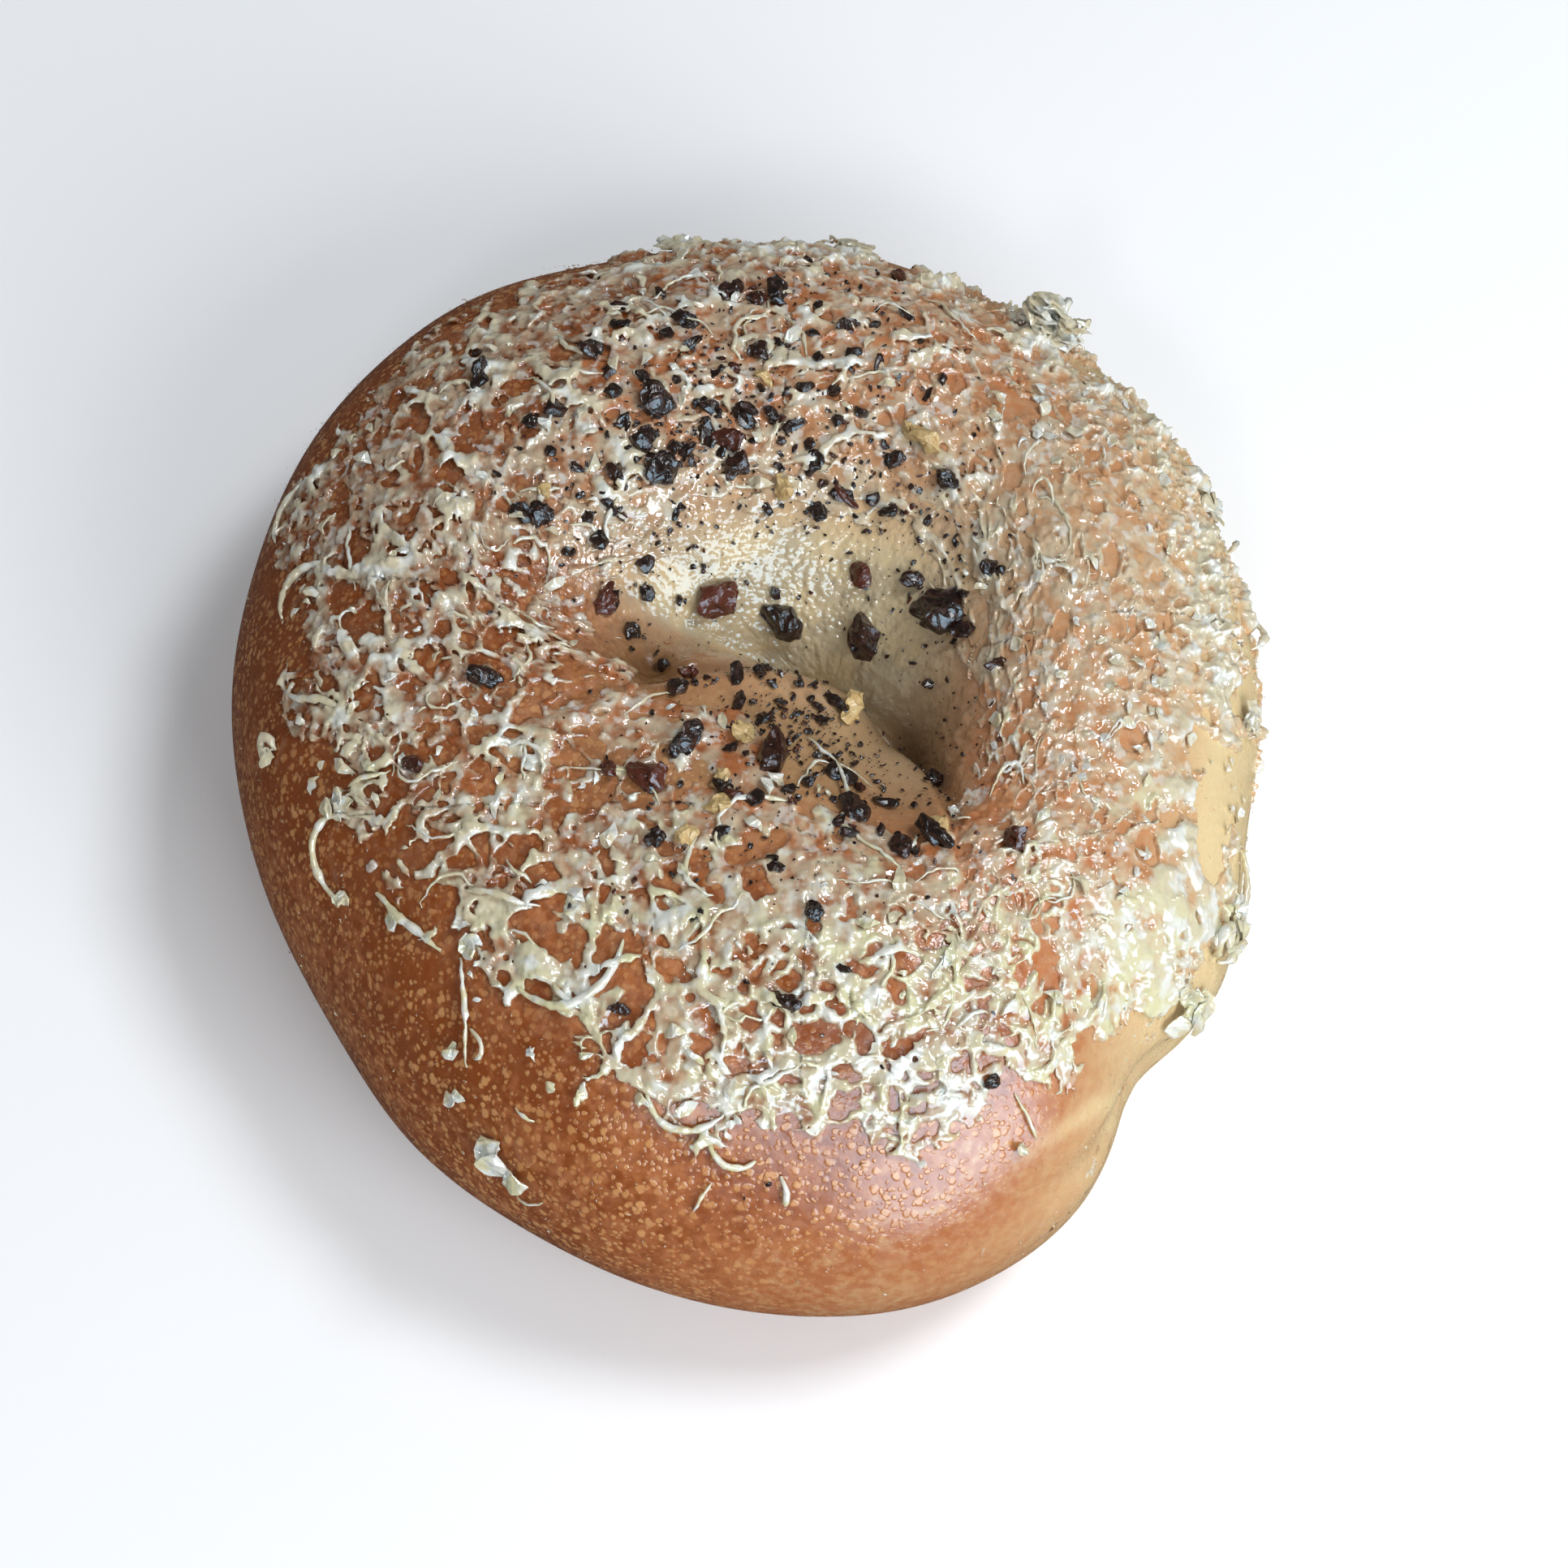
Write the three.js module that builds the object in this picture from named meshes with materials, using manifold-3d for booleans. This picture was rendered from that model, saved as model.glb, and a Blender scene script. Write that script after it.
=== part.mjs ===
// A savoury bagel: one soft, uneven ring of baked dough whose hole has closed to a bent dimple, with
// shreds of grated cheese and cracked pepper baked onto its top.
// Millimetres, +Z up. The bagel rests on z = 0, with its fat side towards -Y.
//
// The dough starts as an even ring, turned from a profile. moulded() then gives every point of that
// even ring its place in the real, hand-shaped one. The toppings are laid out on the plan of the even
// ring, so that they follow whatever the dough does.

import * as THREE from "three";
import { mergeVertices } from "three/addons/utils/BufferGeometryUtils.js";
import Module from "manifold-3d";

// ---------------------------------------------------------------- driving dimensions, in mm and degrees

const RING_RADIUS = 51.7; // from the dimple to the widest line of the side, on average
const CROWN_HEIGHT = 39; // top of the ring above the table, on average
const BELLY_HEIGHT = 16.5; // height of the widest line of the side
const BASE_RADIUS = 41; // flat underside that the bagel rests on
const CREST_RADIUS = 26; // from the dimple to the highest line of the ring
const FLOOR_HEIGHT = 16; // bottom of the dimple above the table
const NAVEL = { radius: 7, depth: 2.5 }; // pucker under the dimple, in the underside

// How the hand-shaped ring departs from a circle: waves round the ring, then single swellings.
const OUTLINE_WAVES = [
  { turns: 1, size: 6.7, peak: 178 },
  { turns: 2, size: 1.9, peak: -105 },
  { turns: 3, size: 1.65, peak: 19 },
];
const SWELLINGS = [
  { at: 296.5, width: 44, size: 10.9 }, // heel, where the rope of dough was joined
  { at: 309.3, width: 9.3, size: -4.5 }, // nick beside the heel
  { at: 145, width: 16, size: 1 }, // shoulder opposite
];
const CROWN_TILT = { share: 0.035, peak: 235 }; // the fat side of the ring is the taller one

// The closed hole is a crescent: the dimple is pulled out to a trough along `bearing`, bent round the lobe.
const TROUGH = { bearing: -30, pull: 10, shift: 3.5, core: 3, reach: 24, bend: 0.028 };
const LOBE = { x: -5, y: -14, lean: 3.4, reach: 13, from: 20, to: 34 }; // lip that leans over the trough

// The crease: a slot where the far wall meets the lobe, along a curve that is `aside` from the trough's line and
// `bend`s away from it on both sides of `at`, under the lobe's rolled edge. A pit opens at each end.
const CREASE = { at: 8, aside: -3.4, bend: 0.043, length: 11, depth: 7, width: 1.6, lip: 1.6, roll: 2.2, rise: 0.6 };
const PITS = [
  { x: -14.2, y: -5.2, reach: 2.6, depth: 3 },
  { x: 9.6, y: -9.6, reach: 3, depth: 4 },
];

const LUMPS = [
  { size: 0.55, x: 8.3, y: 9.7, phase: 0.7 }, // wide unevenness of the crust
  { size: 0.3, x: 4.4, y: -5.6, phase: 2.1 },
];
const SEAM = { at: 307, height: 18, slope: -0.35, span: 13, depth: 1.5, width: 2.6 }; // fold beside the heel

const SEED = 20;
const SHRED = { thickness: 1.3, sunk: 0.6, steps: 5 };
const PEPPER_SUNK = 0.3; // share of a pepper piece's size that lies in the dough

// ---------------------------------------------------------------- small tools

const degrees = THREE.MathUtils.degToRad;
const bell = (x) => Math.exp(-x * x);

// Angle between two bearings, from -PI to PI.
function turnBetween(a, b) {
  return Math.atan2(Math.sin(a - b), Math.cos(a - b));
}

// Repeatable draws from 0 to 1.
function makeDraw(seed) {
  let state = seed;
  return () => {
    state = (state + 0x6d2b79f5) | 0;
    let t = Math.imul(state ^ (state >>> 15), 1 | state);
    t = (t + Math.imul(t ^ (t >>> 7), 61 | t)) ^ t;
    return ((t ^ (t >>> 14)) >>> 0) / 4294967296;
  };
}

// ---------------------------------------------------------------- the dough

// Distance from the dimple to the widest line of the side, at a bearing.
function outline(angle) {
  let radius = RING_RADIUS;
  for (const wave of OUTLINE_WAVES) {
    radius += wave.size * Math.cos(wave.turns * (angle - degrees(wave.peak)));
  }
  for (const lump of SWELLINGS) {
    radius += lump.size * bell(turnBetween(angle, degrees(lump.at)) / degrees(lump.width));
  }
  return radius;
}

// The place in the real bagel of a point of the even ring.
function moulded(even) {
  const angle = Math.atan2(even.y, even.x);
  const stretch = outline(angle) / RING_RADIUS;
  const p = new THREE.Vector3(even.x * stretch, even.y * stretch, even.z);
  p.z *= 1 + CROWN_TILT.share * Math.cos(angle - degrees(CROWN_TILT.peak));

  // Nothing below moves the flat underside.
  const clear = THREE.MathUtils.smoothstep(even.z, 0, FLOOR_HEIGHT);

  // Trough: the dimple is pulled out both ways along its bearing, then its ends are bent to the near side.
  const along = new THREE.Vector2(Math.cos(degrees(TROUGH.bearing)), Math.sin(degrees(TROUGH.bearing)));
  const across = new THREE.Vector2(-along.y, along.x);
  const distance = Math.hypot(p.x, p.y);
  const near = clear * bell(distance / TROUGH.reach);
  const t = p.x * along.x + p.y * along.y;
  const longer = (TROUGH.pull * t * near) / Math.hypot(distance, TROUGH.core);
  const onward = longer + TROUGH.shift * near;
  const aside = -TROUGH.bend * (t + longer) ** 2 * near;
  p.x += along.x * onward + across.x * aside;
  p.y += along.y * onward + across.y * aside;

  // Lobe: the upper part of the near wall leans over the trough.
  const lip = THREE.MathUtils.smoothstep(even.z, LOBE.from, LOBE.to);
  const lean = LOBE.lean * lip * bell(Math.hypot(p.x - LOBE.x, p.y - LOBE.y) / LOBE.reach);
  p.x += across.x * lean;
  p.y += across.y * lean;

  // Crease and pits.
  const past = p.x * along.x + p.y * along.y - CREASE.at;
  const beyond = p.x * across.x + p.y * across.y - CREASE.aside + CREASE.bend * past ** 2;
  const tight = lip * bell(past / CREASE.length);
  const roll = CREASE.lip * tight * bell((beyond + CREASE.roll) / CREASE.roll);
  p.x += across.x * roll;
  p.y += across.y * roll;
  p.z += CREASE.rise * roll - CREASE.depth * tight * bell((beyond - CREASE.width) / CREASE.width);
  for (const pit of PITS) {
    p.z -= pit.depth * lip * bell(Math.hypot(p.x - pit.x, p.y - pit.y) / pit.reach);
  }

  // Unevenness and the fold at the seam go in and out from the middle of the ring.
  let relief = 0;
  for (const lump of LUMPS) {
    relief += lump.size * Math.sin(even.x / lump.x + lump.phase) * Math.sin(even.y / lump.y + even.z / 11);
  }
  const beside = turnBetween(angle, degrees(SEAM.at)) / degrees(SEAM.span);
  const above = even.z - SEAM.height - SEAM.slope * beside * SEAM.span;
  relief -= SEAM.depth * bell(beside) * bell(above / SEAM.width);
  const out = new THREE.Vector3(even.x, even.y, 0).setLength(Math.hypot(even.x, even.y) - CREST_RADIUS);
  out.z = even.z - BELLY_HEIGHT;
  return p.addScaledVector(out.normalize(), relief * clear);
}

// Height of the even ring's upper side at a distance from its axis.
function evenTop(radius) {
  const outer = radius > CREST_RADIUS;
  const reach = outer ? RING_RADIUS - CREST_RADIUS : CREST_RADIUS;
  const foot = outer ? BELLY_HEIGHT : FLOOR_HEIGHT;
  const share = Math.min(Math.abs(radius - CREST_RADIUS) / reach, 1);
  return foot + (CROWN_HEIGHT - foot) * Math.sqrt(1 - share * share);
}

// Point of the crust above a place on the even ring's plan.
function skin(x, y) {
  return moulded(new THREE.Vector3(x, y, evenTop(Math.hypot(x, y))));
}

function skinNormal(x, y) {
  const step = 0.4;
  const east = skin(x + step, y).sub(skin(x - step, y));
  const north = skin(x, y + step).sub(skin(x, y - step));
  return east.cross(north).normalize();
}

function makeDough() {
  const outside = new THREE.Path();
  outside.moveTo(0, NAVEL.depth);
  outside.quadraticCurveTo(NAVEL.radius * 0.7, NAVEL.depth, NAVEL.radius, 0);
  outside.lineTo(BASE_RADIUS, 0);
  outside.absellipse(BASE_RADIUS, BELLY_HEIGHT, RING_RADIUS - BASE_RADIUS, BELLY_HEIGHT, -Math.PI / 2, 0);
  outside.absellipse(CREST_RADIUS, BELLY_HEIGHT, RING_RADIUS - CREST_RADIUS, CROWN_HEIGHT - BELLY_HEIGHT, 0, Math.PI / 2);
  const wall = new THREE.Path();
  wall.absellipse(CREST_RADIUS, FLOOR_HEIGHT, CREST_RADIUS, CROWN_HEIGHT - FLOOR_HEIGHT, Math.PI / 2, Math.PI);
  const profile = [...outside.getPoints(4), ...wall.getPoints(9).slice(1)];
  return reshaped(new THREE.LatheGeometry(profile, 72).rotateX(Math.PI / 2), moulded);
}

// ---------------------------------------------------------------- the toppings

// Moves each vertex of a geometry to where `place` puts it.
function reshaped(geometry, place) {
  const position = geometry.attributes.position;
  const vertex = new THREE.Vector3();
  for (let i = 0; i < position.count; i++) {
    vertex.copy(place(vertex.fromBufferAttribute(position, i), i));
    position.setXYZ(i, vertex.x, vertex.y, vertex.z);
  }
  return geometry;
}

// A strip of cheese: a thin box bent along the crust from (x, y), ragged at its sides. `curl` is how far
// its far end stands off the crust.
function makeShred({ x, y, heading, turn, length, width, curl }, draw) {
  const box = new THREE.BoxGeometry(length, width, SHRED.thickness, SHRED.steps, 1, 1);
  const ragged = Array.from({ length: SHRED.steps + 1 }, () => 0.55 + 0.75 * draw());
  return reshaped(box, (v) => {
    const share = v.x / length + 0.5;
    const bearing = heading + turn * (share - 0.5);
    const cx = x + v.x * Math.cos(bearing);
    const cy = y + v.x * Math.sin(bearing);
    const side = v.y * ragged[Math.round(share * SHRED.steps)];
    const px = cx - side * Math.sin(bearing);
    const py = cy + side * Math.cos(bearing);
    const lift = v.z + SHRED.thickness / 2 - SHRED.sunk + curl * share ** 3;
    return skin(px, py).addScaledVector(skinNormal(cx, cy), lift);
  });
}

// A chip of cracked pepper: a dented lump, part of it in the crust.
function makePepper({ x, y, size }, draw) {
  const chip = mergeVertices(new THREE.IcosahedronGeometry(size / 2, 0).deleteAttribute("normal").deleteAttribute("uv"));
  const spin = new THREE.Euler(draw() * Math.PI * 2, draw() * Math.PI * 2, draw() * Math.PI * 2);
  const centre = skin(x, y).addScaledVector(skinNormal(x, y), size * (0.5 - PEPPER_SUNK));
  const dents = Array.from({ length: chip.attributes.position.count }, () => 0.7 + 0.45 * draw());
  return reshaped(chip, (v, i) => v.multiplyScalar(dents[i]).applyEuler(spin).add(centre));
}

// Places spread evenly over a ring of the plan by the golden angle, with a little disorder.
function* spread(count, inner, outer, disorder, draw) {
  for (let i = 0; i < count; i++) {
    const radius = Math.sqrt(inner ** 2 + (outer ** 2 - inner ** 2) * ((i + 0.5) / count));
    const angle = i * Math.PI * (3 - Math.sqrt(5));
    yield {
      x: radius * Math.cos(angle) + disorder * (draw() - 0.5),
      y: radius * Math.sin(angle) + disorder * (draw() - 0.5),
    };
  }
}

function makeShreds(draw) {
  const shreds = [];
  for (const place of spread(40, 17, 45, 5, draw)) {
    const heading = draw() * Math.PI;
    shreds.push(makeShred({
      ...place,
      heading,
      turn: 1.6 * (draw() - 0.5),
      length: 8 + 7 * draw(),
      width: 1.3 + 1.6 * draw(),
      curl: draw() < 0.15 ? 1.5 : 0,
    }, draw));
  }
  return shreds;
}

function makePeppers(draw) {
  const chips = [];
  for (const place of spread(40, 4, 34, 6, draw)) {
    chips.push(makePepper({ ...place, size: 1.8 + 2.4 * draw() ** 2 }, draw));
  }
  return chips;
}

// ---------------------------------------------------------------- one solid

const wasm = await Module();
wasm.setup();

function toSolid(geometry) {
  const bare = geometry.clone();
  bare.deleteAttribute("normal");
  bare.deleteAttribute("uv");
  const merged = mergeVertices(bare, 1e-4);
  return new wasm.Manifold(new wasm.Mesh({
    numProp: 3,
    vertProperties: merged.attributes.position.array,
    triVerts: new Uint32Array(merged.index.array),
  }));
}

// Joins the pieces and keeps the outer surface of the body that they make.
function fused(geometries) {
  const bodies = wasm.Manifold.union(geometries.map(toSolid)).decompose();
  bodies.sort((a, b) => b.volume() - a.volume());
  const { vertProperties, triVerts } = bodies[0].getMesh();
  const geometry = new THREE.BufferGeometry();
  geometry.setAttribute("position", new THREE.BufferAttribute(vertProperties, 3));
  geometry.setIndex(new THREE.BufferAttribute(triVerts, 1));
  geometry.computeVertexNormals();
  return geometry;
}

// The origin is at the middle of the bagel's box, on the table.
function centred(geometry) {
  geometry.computeBoundingBox();
  const middle = geometry.boundingBox.getCenter(new THREE.Vector3());
  return geometry.translate(-middle.x, -middle.y, -geometry.boundingBox.min.z);
}

const draw = makeDraw(SEED);
const baked = centred(fused([makeDough(), ...makeShreds(draw), ...makePeppers(draw)]));
const crust = new THREE.MeshStandardMaterial({ color: 0xb06a35, roughness: 0.42, metalness: 0 });
const bagel = new THREE.Mesh(baked, crust);
bagel.name = "bagel";

const group = new THREE.Group();
group.add(bagel);

export default group;
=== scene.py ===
import math

import bpy
import numpy as np
from bpy.props import FloatProperty, FloatVectorProperty, IntProperty, PointerProperty
from bpy.types import Operator, Panel, PropertyGroup
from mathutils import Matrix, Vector


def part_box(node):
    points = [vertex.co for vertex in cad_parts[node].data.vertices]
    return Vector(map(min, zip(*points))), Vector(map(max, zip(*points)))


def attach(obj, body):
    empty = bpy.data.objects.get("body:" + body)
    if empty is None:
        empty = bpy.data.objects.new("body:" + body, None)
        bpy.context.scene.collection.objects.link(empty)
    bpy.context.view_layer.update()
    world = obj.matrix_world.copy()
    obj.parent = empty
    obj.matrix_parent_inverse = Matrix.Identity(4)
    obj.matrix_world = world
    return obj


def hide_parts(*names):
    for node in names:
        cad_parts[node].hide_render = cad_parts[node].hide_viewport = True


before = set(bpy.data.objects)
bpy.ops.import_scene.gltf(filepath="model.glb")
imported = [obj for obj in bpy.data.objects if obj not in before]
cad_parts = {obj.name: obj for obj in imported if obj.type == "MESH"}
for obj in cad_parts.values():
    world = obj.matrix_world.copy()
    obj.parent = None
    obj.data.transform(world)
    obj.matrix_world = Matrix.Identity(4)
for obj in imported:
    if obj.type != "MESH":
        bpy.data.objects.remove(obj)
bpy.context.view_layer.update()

bl_info = {
    "name": "Cheese and Pepper Bagel",
    "version": (1, 0, 0),
    "blender": (4, 5, 0),
    "location": "View3D > Sidebar > Bagel",
    "description": "A savoury bagel with melted grated cheese and cracked pepper",
    "category": "Add Mesh",
}

MM = 0.001

# ------------------------------------------------------------------ sizes and colours


def tone(red, green, blue):
    """A colour given as 0 to 255 on screen, as the linear colour that materials take."""
    return tuple(
        c / 12.92 if c <= 0.04045 else ((c + 0.055) / 1.055) ** 2.4
        for c in (red / 255, green / 255, blue / 255)
    )


def size(name, description, millimetres):
    """A size that a user may change."""
    return FloatProperty(name=name, description=description, default=millimetres * MM, unit="LENGTH")


def shade(name, description, red, green, blue):
    """A colour that a user may change."""
    return FloatVectorProperty(
        name=name, description=description, default=tone(red, green, blue), subtype="COLOR", min=0, max=1,
    )


class BagelForm(PropertyGroup):
    """Sizes of the dough."""

    ring_radius: size("Ring radius", "Dimple to the widest line of the side", 51.7)
    crown_height: size("Crown height", "Table to the top of the ring", 39)
    belly_height: size("Belly height", "Table to the widest line of the side", 16.5)
    base_radius: size("Base radius", "Radius of the flat underside", 41)
    crest_radius: size("Crest radius", "Dimple to the highest line of the ring", 26)
    floor_height: size("Dimple floor", "Table to the bottom of the dimple", 16)
    navel_radius: size("Navel radius", "Radius of the pucker in the underside", 7)
    navel_depth: size("Navel depth", "Depth of the pucker in the underside", 2.5)


class BagelToppings(PropertyGroup):
    """Amounts and sizes of the toppings."""

    voxel: size("Lace grain", "Smallest detail of the melted cheese", 0.2)
    border: size("Cheese border", "Dimple to where the cheese ends, along the crust", 48)
    hole: size("Lace hole", "Size of the large holes in the melted cheese", 5.6)
    strand: size("Strand", "Half the width of a melted strand", 0.38)
    arch: size("Arch", "How far strands lift off the crust", 1.3)
    shreds: IntProperty(name="Shreds", description="Loose grated bits", default=260)
    threads: IntProperty(name="Threads", description="Fine threads drawn over the lace", default=90)
    pepper_dust: IntProperty(name="Pepper dust", description="Specks of ground pepper", default=2200)
    pepper_bits: IntProperty(name="Pepper bits", description="Small cracked bits", default=370)


class BagelColours(PropertyGroup):
    """Colours of the crust and the toppings."""

    crust_dark: shade("Dark crust", "Most baked side", 132, 66, 22)
    crust_mid: shade("Brown crust", "Evenly baked crust", 168, 102, 58)
    crust_pale: shade("Pale crust", "Least baked side", 216, 193, 146)
    oiled: shade("Oiled crust", "Crust under the cheese, soaked with fat", 182, 110, 64)
    blister: shade("Blister", "Small bubbles in the crust's skin", 204, 148, 92)
    # Painted shade: the crust is darkened towards this colour in the crease and its pits, where shade falls.
    crease: shade("Crease", "Dark, shaded dough deep in the crease", 100, 64, 24)
    crumb: shade("Soft dough", "Unbaked look inside the dimple", 178, 165, 136)
    lobe: shade("Tan dough", "Smooth dough beside the crease", 174, 138, 96)
    cheese: shade("Cheese", "Dried melted cheese", 200, 190, 163)
    cheese_yellow: shade("Yellow cheese", "Fatter cheese at the near side", 206, 202, 163)
    cheese_white: shade("White cheese", "Thick dry crumbs of cheese", 216, 218, 212)
    pepper: shade("Pepper husk", "Black pepper", 33, 24, 19)
    pepper_red: shade("Toasted pepper", "Brown pepper husk", 86, 42, 27)
    pepper_heart: shade("Pepper heart", "Pale inside of a cracked corn", 206, 182, 128)
    pepper_rind: shade("Pepper rind", "Darker rim of a cracked corn's inside", 168, 128, 72)


# How the hand-shaped ring departs from a circle: (turns, size, peak bearing), then single swellings
# (bearing, width, size), in degrees and millimetres.
OUTLINE_WAVES = ((1, 6.7, 178), (2, 1.9, -105), (3, 1.65, 19))
SWELLINGS = ((296.5, 44, 10.9), (309.3, 9.3, -4.5), (145, 16, 1.0))
CROWN_TILT, CROWN_TILT_PEAK = 0.035, 235
TROUGH = {"bearing": -30, "pull": 10, "shift": 3.5, "core": 3, "reach": 24, "bend": 0.028}
LOBE = {"x": -5, "y": -14, "lean": 3.4, "reach": 13, "start": 20, "end": 34}
LUMPS = ((0.55, 8.3, 9.7, 0.7), (0.3, 4.4, -5.6, 2.1))
SEAM = {"at": 307, "height": 18, "slope": -0.35, "span": 13, "depth": 1.5, "width": 2.6}
CREASE = {
    "at": 8, "aside": -3.4, "bend": 0.043, "length": 11, "depth": 7, "width": 1.6, "lip": 1.6, "roll": 2.2,
    "rise": 0.6,
}
PITS = ((-14.2, -5.2, 2.6, 3.0), (9.6, -9.6, 3.0, 4.0))

# How much darker (above 0) or paler (below 0) the crust is baked at some places. The east share is partly
# painted light: the side that faces the lamps is made paler. The stretch mark is a fine line from (x, y)
# along a direction.
BAKE = {
    "crown": 0.1, "heel": 0.26, "east": -0.23, "low": -0.3, "middle": -0.22, "mark": -0.14, "foot": 0.06,
}
STRETCH_MARK = {"x": 20, "y": -52.5, "along": (0.77, 0.64), "middle": 7, "reach": 8, "width": 0.55}

DOUGH_ROUND = 500
DOUGH_STEPS = (14, 78, 84)

# ------------------------------------------------------------------ form of the dough
# Points are rows of x, y, z in millimetres round the dimple until placed() puts them in the frame.


def bell(x):
    return np.exp(-x * x)


def turn_between(a, b):
    return np.arctan2(np.sin(a - b), np.cos(a - b))


def smooth_step(x, start, end):
    t = np.clip((x - start) / (end - start), 0, 1)
    return t * t * (3 - 2 * t)


def round_dimple(distance, angle):
    """The x and y of places given by their distance from the dimple and their bearing."""
    return distance * np.cos(angle), distance * np.sin(angle)


TROUGH_BEARING = math.radians(TROUGH["bearing"])
ALONG_X, ALONG_Y = math.cos(TROUGH_BEARING), math.sin(TROUGH_BEARING)


class Dough:
    """The even ring of dough, and where each of its points lies in the hand-shaped one."""

    def __init__(self, form):
        self.ring, self.crest, self.base = (
            radius / MM for radius in (form.ring_radius, form.crest_radius, form.base_radius)
        )
        self.crown, self.belly, self.floor = (
            height / MM for height in (form.crown_height, form.belly_height, form.floor_height)
        )
        self.navel = form.navel_radius / MM, form.navel_depth / MM
        self.tabulate_section()

    def outline(self, angle):
        """Distance from the dimple to the widest line of the side."""
        radius = np.full_like(angle, self.ring)
        for turns, swell, peak in OUTLINE_WAVES:
            radius += swell * np.cos(turns * (angle - math.radians(peak)))
        for at, width, swell in SWELLINGS:
            radius += swell * bell(turn_between(angle, math.radians(at)) / math.radians(width))
        return radius

    def moulded(self, even):
        """Places of the even ring's points in the hand-shaped ring."""
        x, y, z = even.T
        angle = np.arctan2(y, x)
        stretch = self.outline(angle) / self.ring
        px, py = x * stretch, y * stretch
        pz = z * (1 + CROWN_TILT * np.cos(angle - math.radians(CROWN_TILT_PEAK)))
        clear = smooth_step(z, 0, self.floor)

        across_x, across_y = -ALONG_Y, ALONG_X
        distance = np.hypot(px, py)
        near = clear * bell(distance / TROUGH["reach"])
        t = px * ALONG_X + py * ALONG_Y
        longer = TROUGH["pull"] * t * near / np.hypot(distance, TROUGH["core"])
        onward = longer + TROUGH["shift"] * near
        aside = -TROUGH["bend"] * (t + longer) ** 2 * near
        px = px + ALONG_X * onward + across_x * aside
        py = py + ALONG_Y * onward + across_y * aside

        lip = smooth_step(z, LOBE["start"], LOBE["end"])
        lean = LOBE["lean"] * lip * bell(np.hypot(px - LOBE["x"], py - LOBE["y"]) / LOBE["reach"])
        px, py = px + across_x * lean, py + across_y * lean

        # The crease: a deep slot where the far wall meets the lobe, whose edge rolls up and over it.
        t, beyond = self.from_crease(px, py)
        tight = lip * bell(t / CREASE["length"])
        roll = CREASE["lip"] * tight * bell((beyond + CREASE["roll"]) / CREASE["roll"])
        px, py = px + across_x * roll, py + across_y * roll
        slot = CREASE["depth"] * tight * bell((beyond - CREASE["width"]) / CREASE["width"])
        pz = pz + CREASE["rise"] * roll - slot
        for at_x, at_y, reach, depth in PITS:
            pz = pz - depth * lip * bell(np.hypot(px - at_x, py - at_y) / reach)

        relief = sum(
            swell * np.sin(x / long + phase) * np.sin(y / wide + z / 11)
            for swell, long, wide, phase in LUMPS
        )
        beside = turn_between(angle, math.radians(SEAM["at"])) / math.radians(SEAM["span"])
        above = z - SEAM["height"] - SEAM["slope"] * beside * SEAM["span"]
        relief = relief - SEAM["depth"] * bell(beside) * bell(above / SEAM["width"])
        radius = np.hypot(x, y)
        share = (radius - self.crest) / np.maximum(radius, 1e-9)
        out = np.stack([x * share, y * share, z - self.belly], -1)
        out /= np.linalg.norm(out, axis=1, keepdims=True) + 1e-9
        return np.stack([px, py, pz], -1) + out * (relief * clear)[:, None]

    def from_crease(self, x, y):
        """How far along the crease places are from its middle, and how far beyond its line."""
        t = x * ALONG_X + y * ALONG_Y - CREASE["at"]
        return t, y * ALONG_X - x * ALONG_Y - CREASE["aside"] + CREASE["bend"] * t * t

    def in_crease(self, x, y):
        """1 in the crease and its pits, 0 away from them: where the crust gets painted shade."""
        t, beyond = self.from_crease(x, y)
        slot = bell(t / CREASE["length"]) * bell((beyond - CREASE["width"]) / (1.5 * CREASE["width"]))
        pits = sum(
            3 / depth * bell(np.hypot(x - at_x, y - at_y) / (1.5 * reach))
            for at_x, at_y, reach, depth in PITS
        )
        return 0.8 * slot + pits

    def arcs(self, steps):
        """The section's side, shoulder and inner wall, each as rows of radius and height."""
        side = np.radians(np.linspace(-90, 0, steps[0] + 1))
        shoulder = np.radians(np.linspace(0, 90, steps[1] + 1))
        wall = np.radians(np.linspace(90, 180, steps[2] + 1))
        return (
            np.stack([self.base + (self.ring - self.base) * np.cos(side),
                      self.belly * (1 + np.sin(side))], -1),
            np.stack([self.crest + (self.ring - self.crest) * np.cos(shoulder),
                      self.belly + (self.crown - self.belly) * np.sin(shoulder)], -1),
            np.stack([self.crest * (1 + np.cos(wall)),
                      self.floor + (self.crown - self.floor) * np.sin(wall)], -1),
        )

    def tabulate_section(self):
        """Measures the upper side of the ring so that a flat sheet can be laid on it evenly.

        sheet_radius grows from the dimple so that a small square of the sheet stays a square."""
        _, shoulder, wall = self.arcs((1, 400, 400))
        section = np.concatenate([wall[::-1], shoulder[::-1][1:]])
        section[0, 0] = 0.02
        steps = np.hypot(*np.diff(section, axis=0).T)
        middle = (section[1:, 0] + section[:-1, 0]) / 2
        grown = np.concatenate([[0], np.cumsum(steps / middle)])
        self.section = section
        self.sheet_radius = self.crest * np.exp(grown - grown[len(wall) - 1])

    def skin(self, x, y):
        """Points of the crust under places of the flat sheet."""
        radius = np.hypot(x, y)
        angle = np.arctan2(y, x)
        r = np.interp(radius, self.sheet_radius, self.section[:, 0])
        z = np.interp(radius, self.sheet_radius, self.section[:, 1])
        return self.moulded(np.stack([*round_dimple(r, angle), z], -1))

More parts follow.
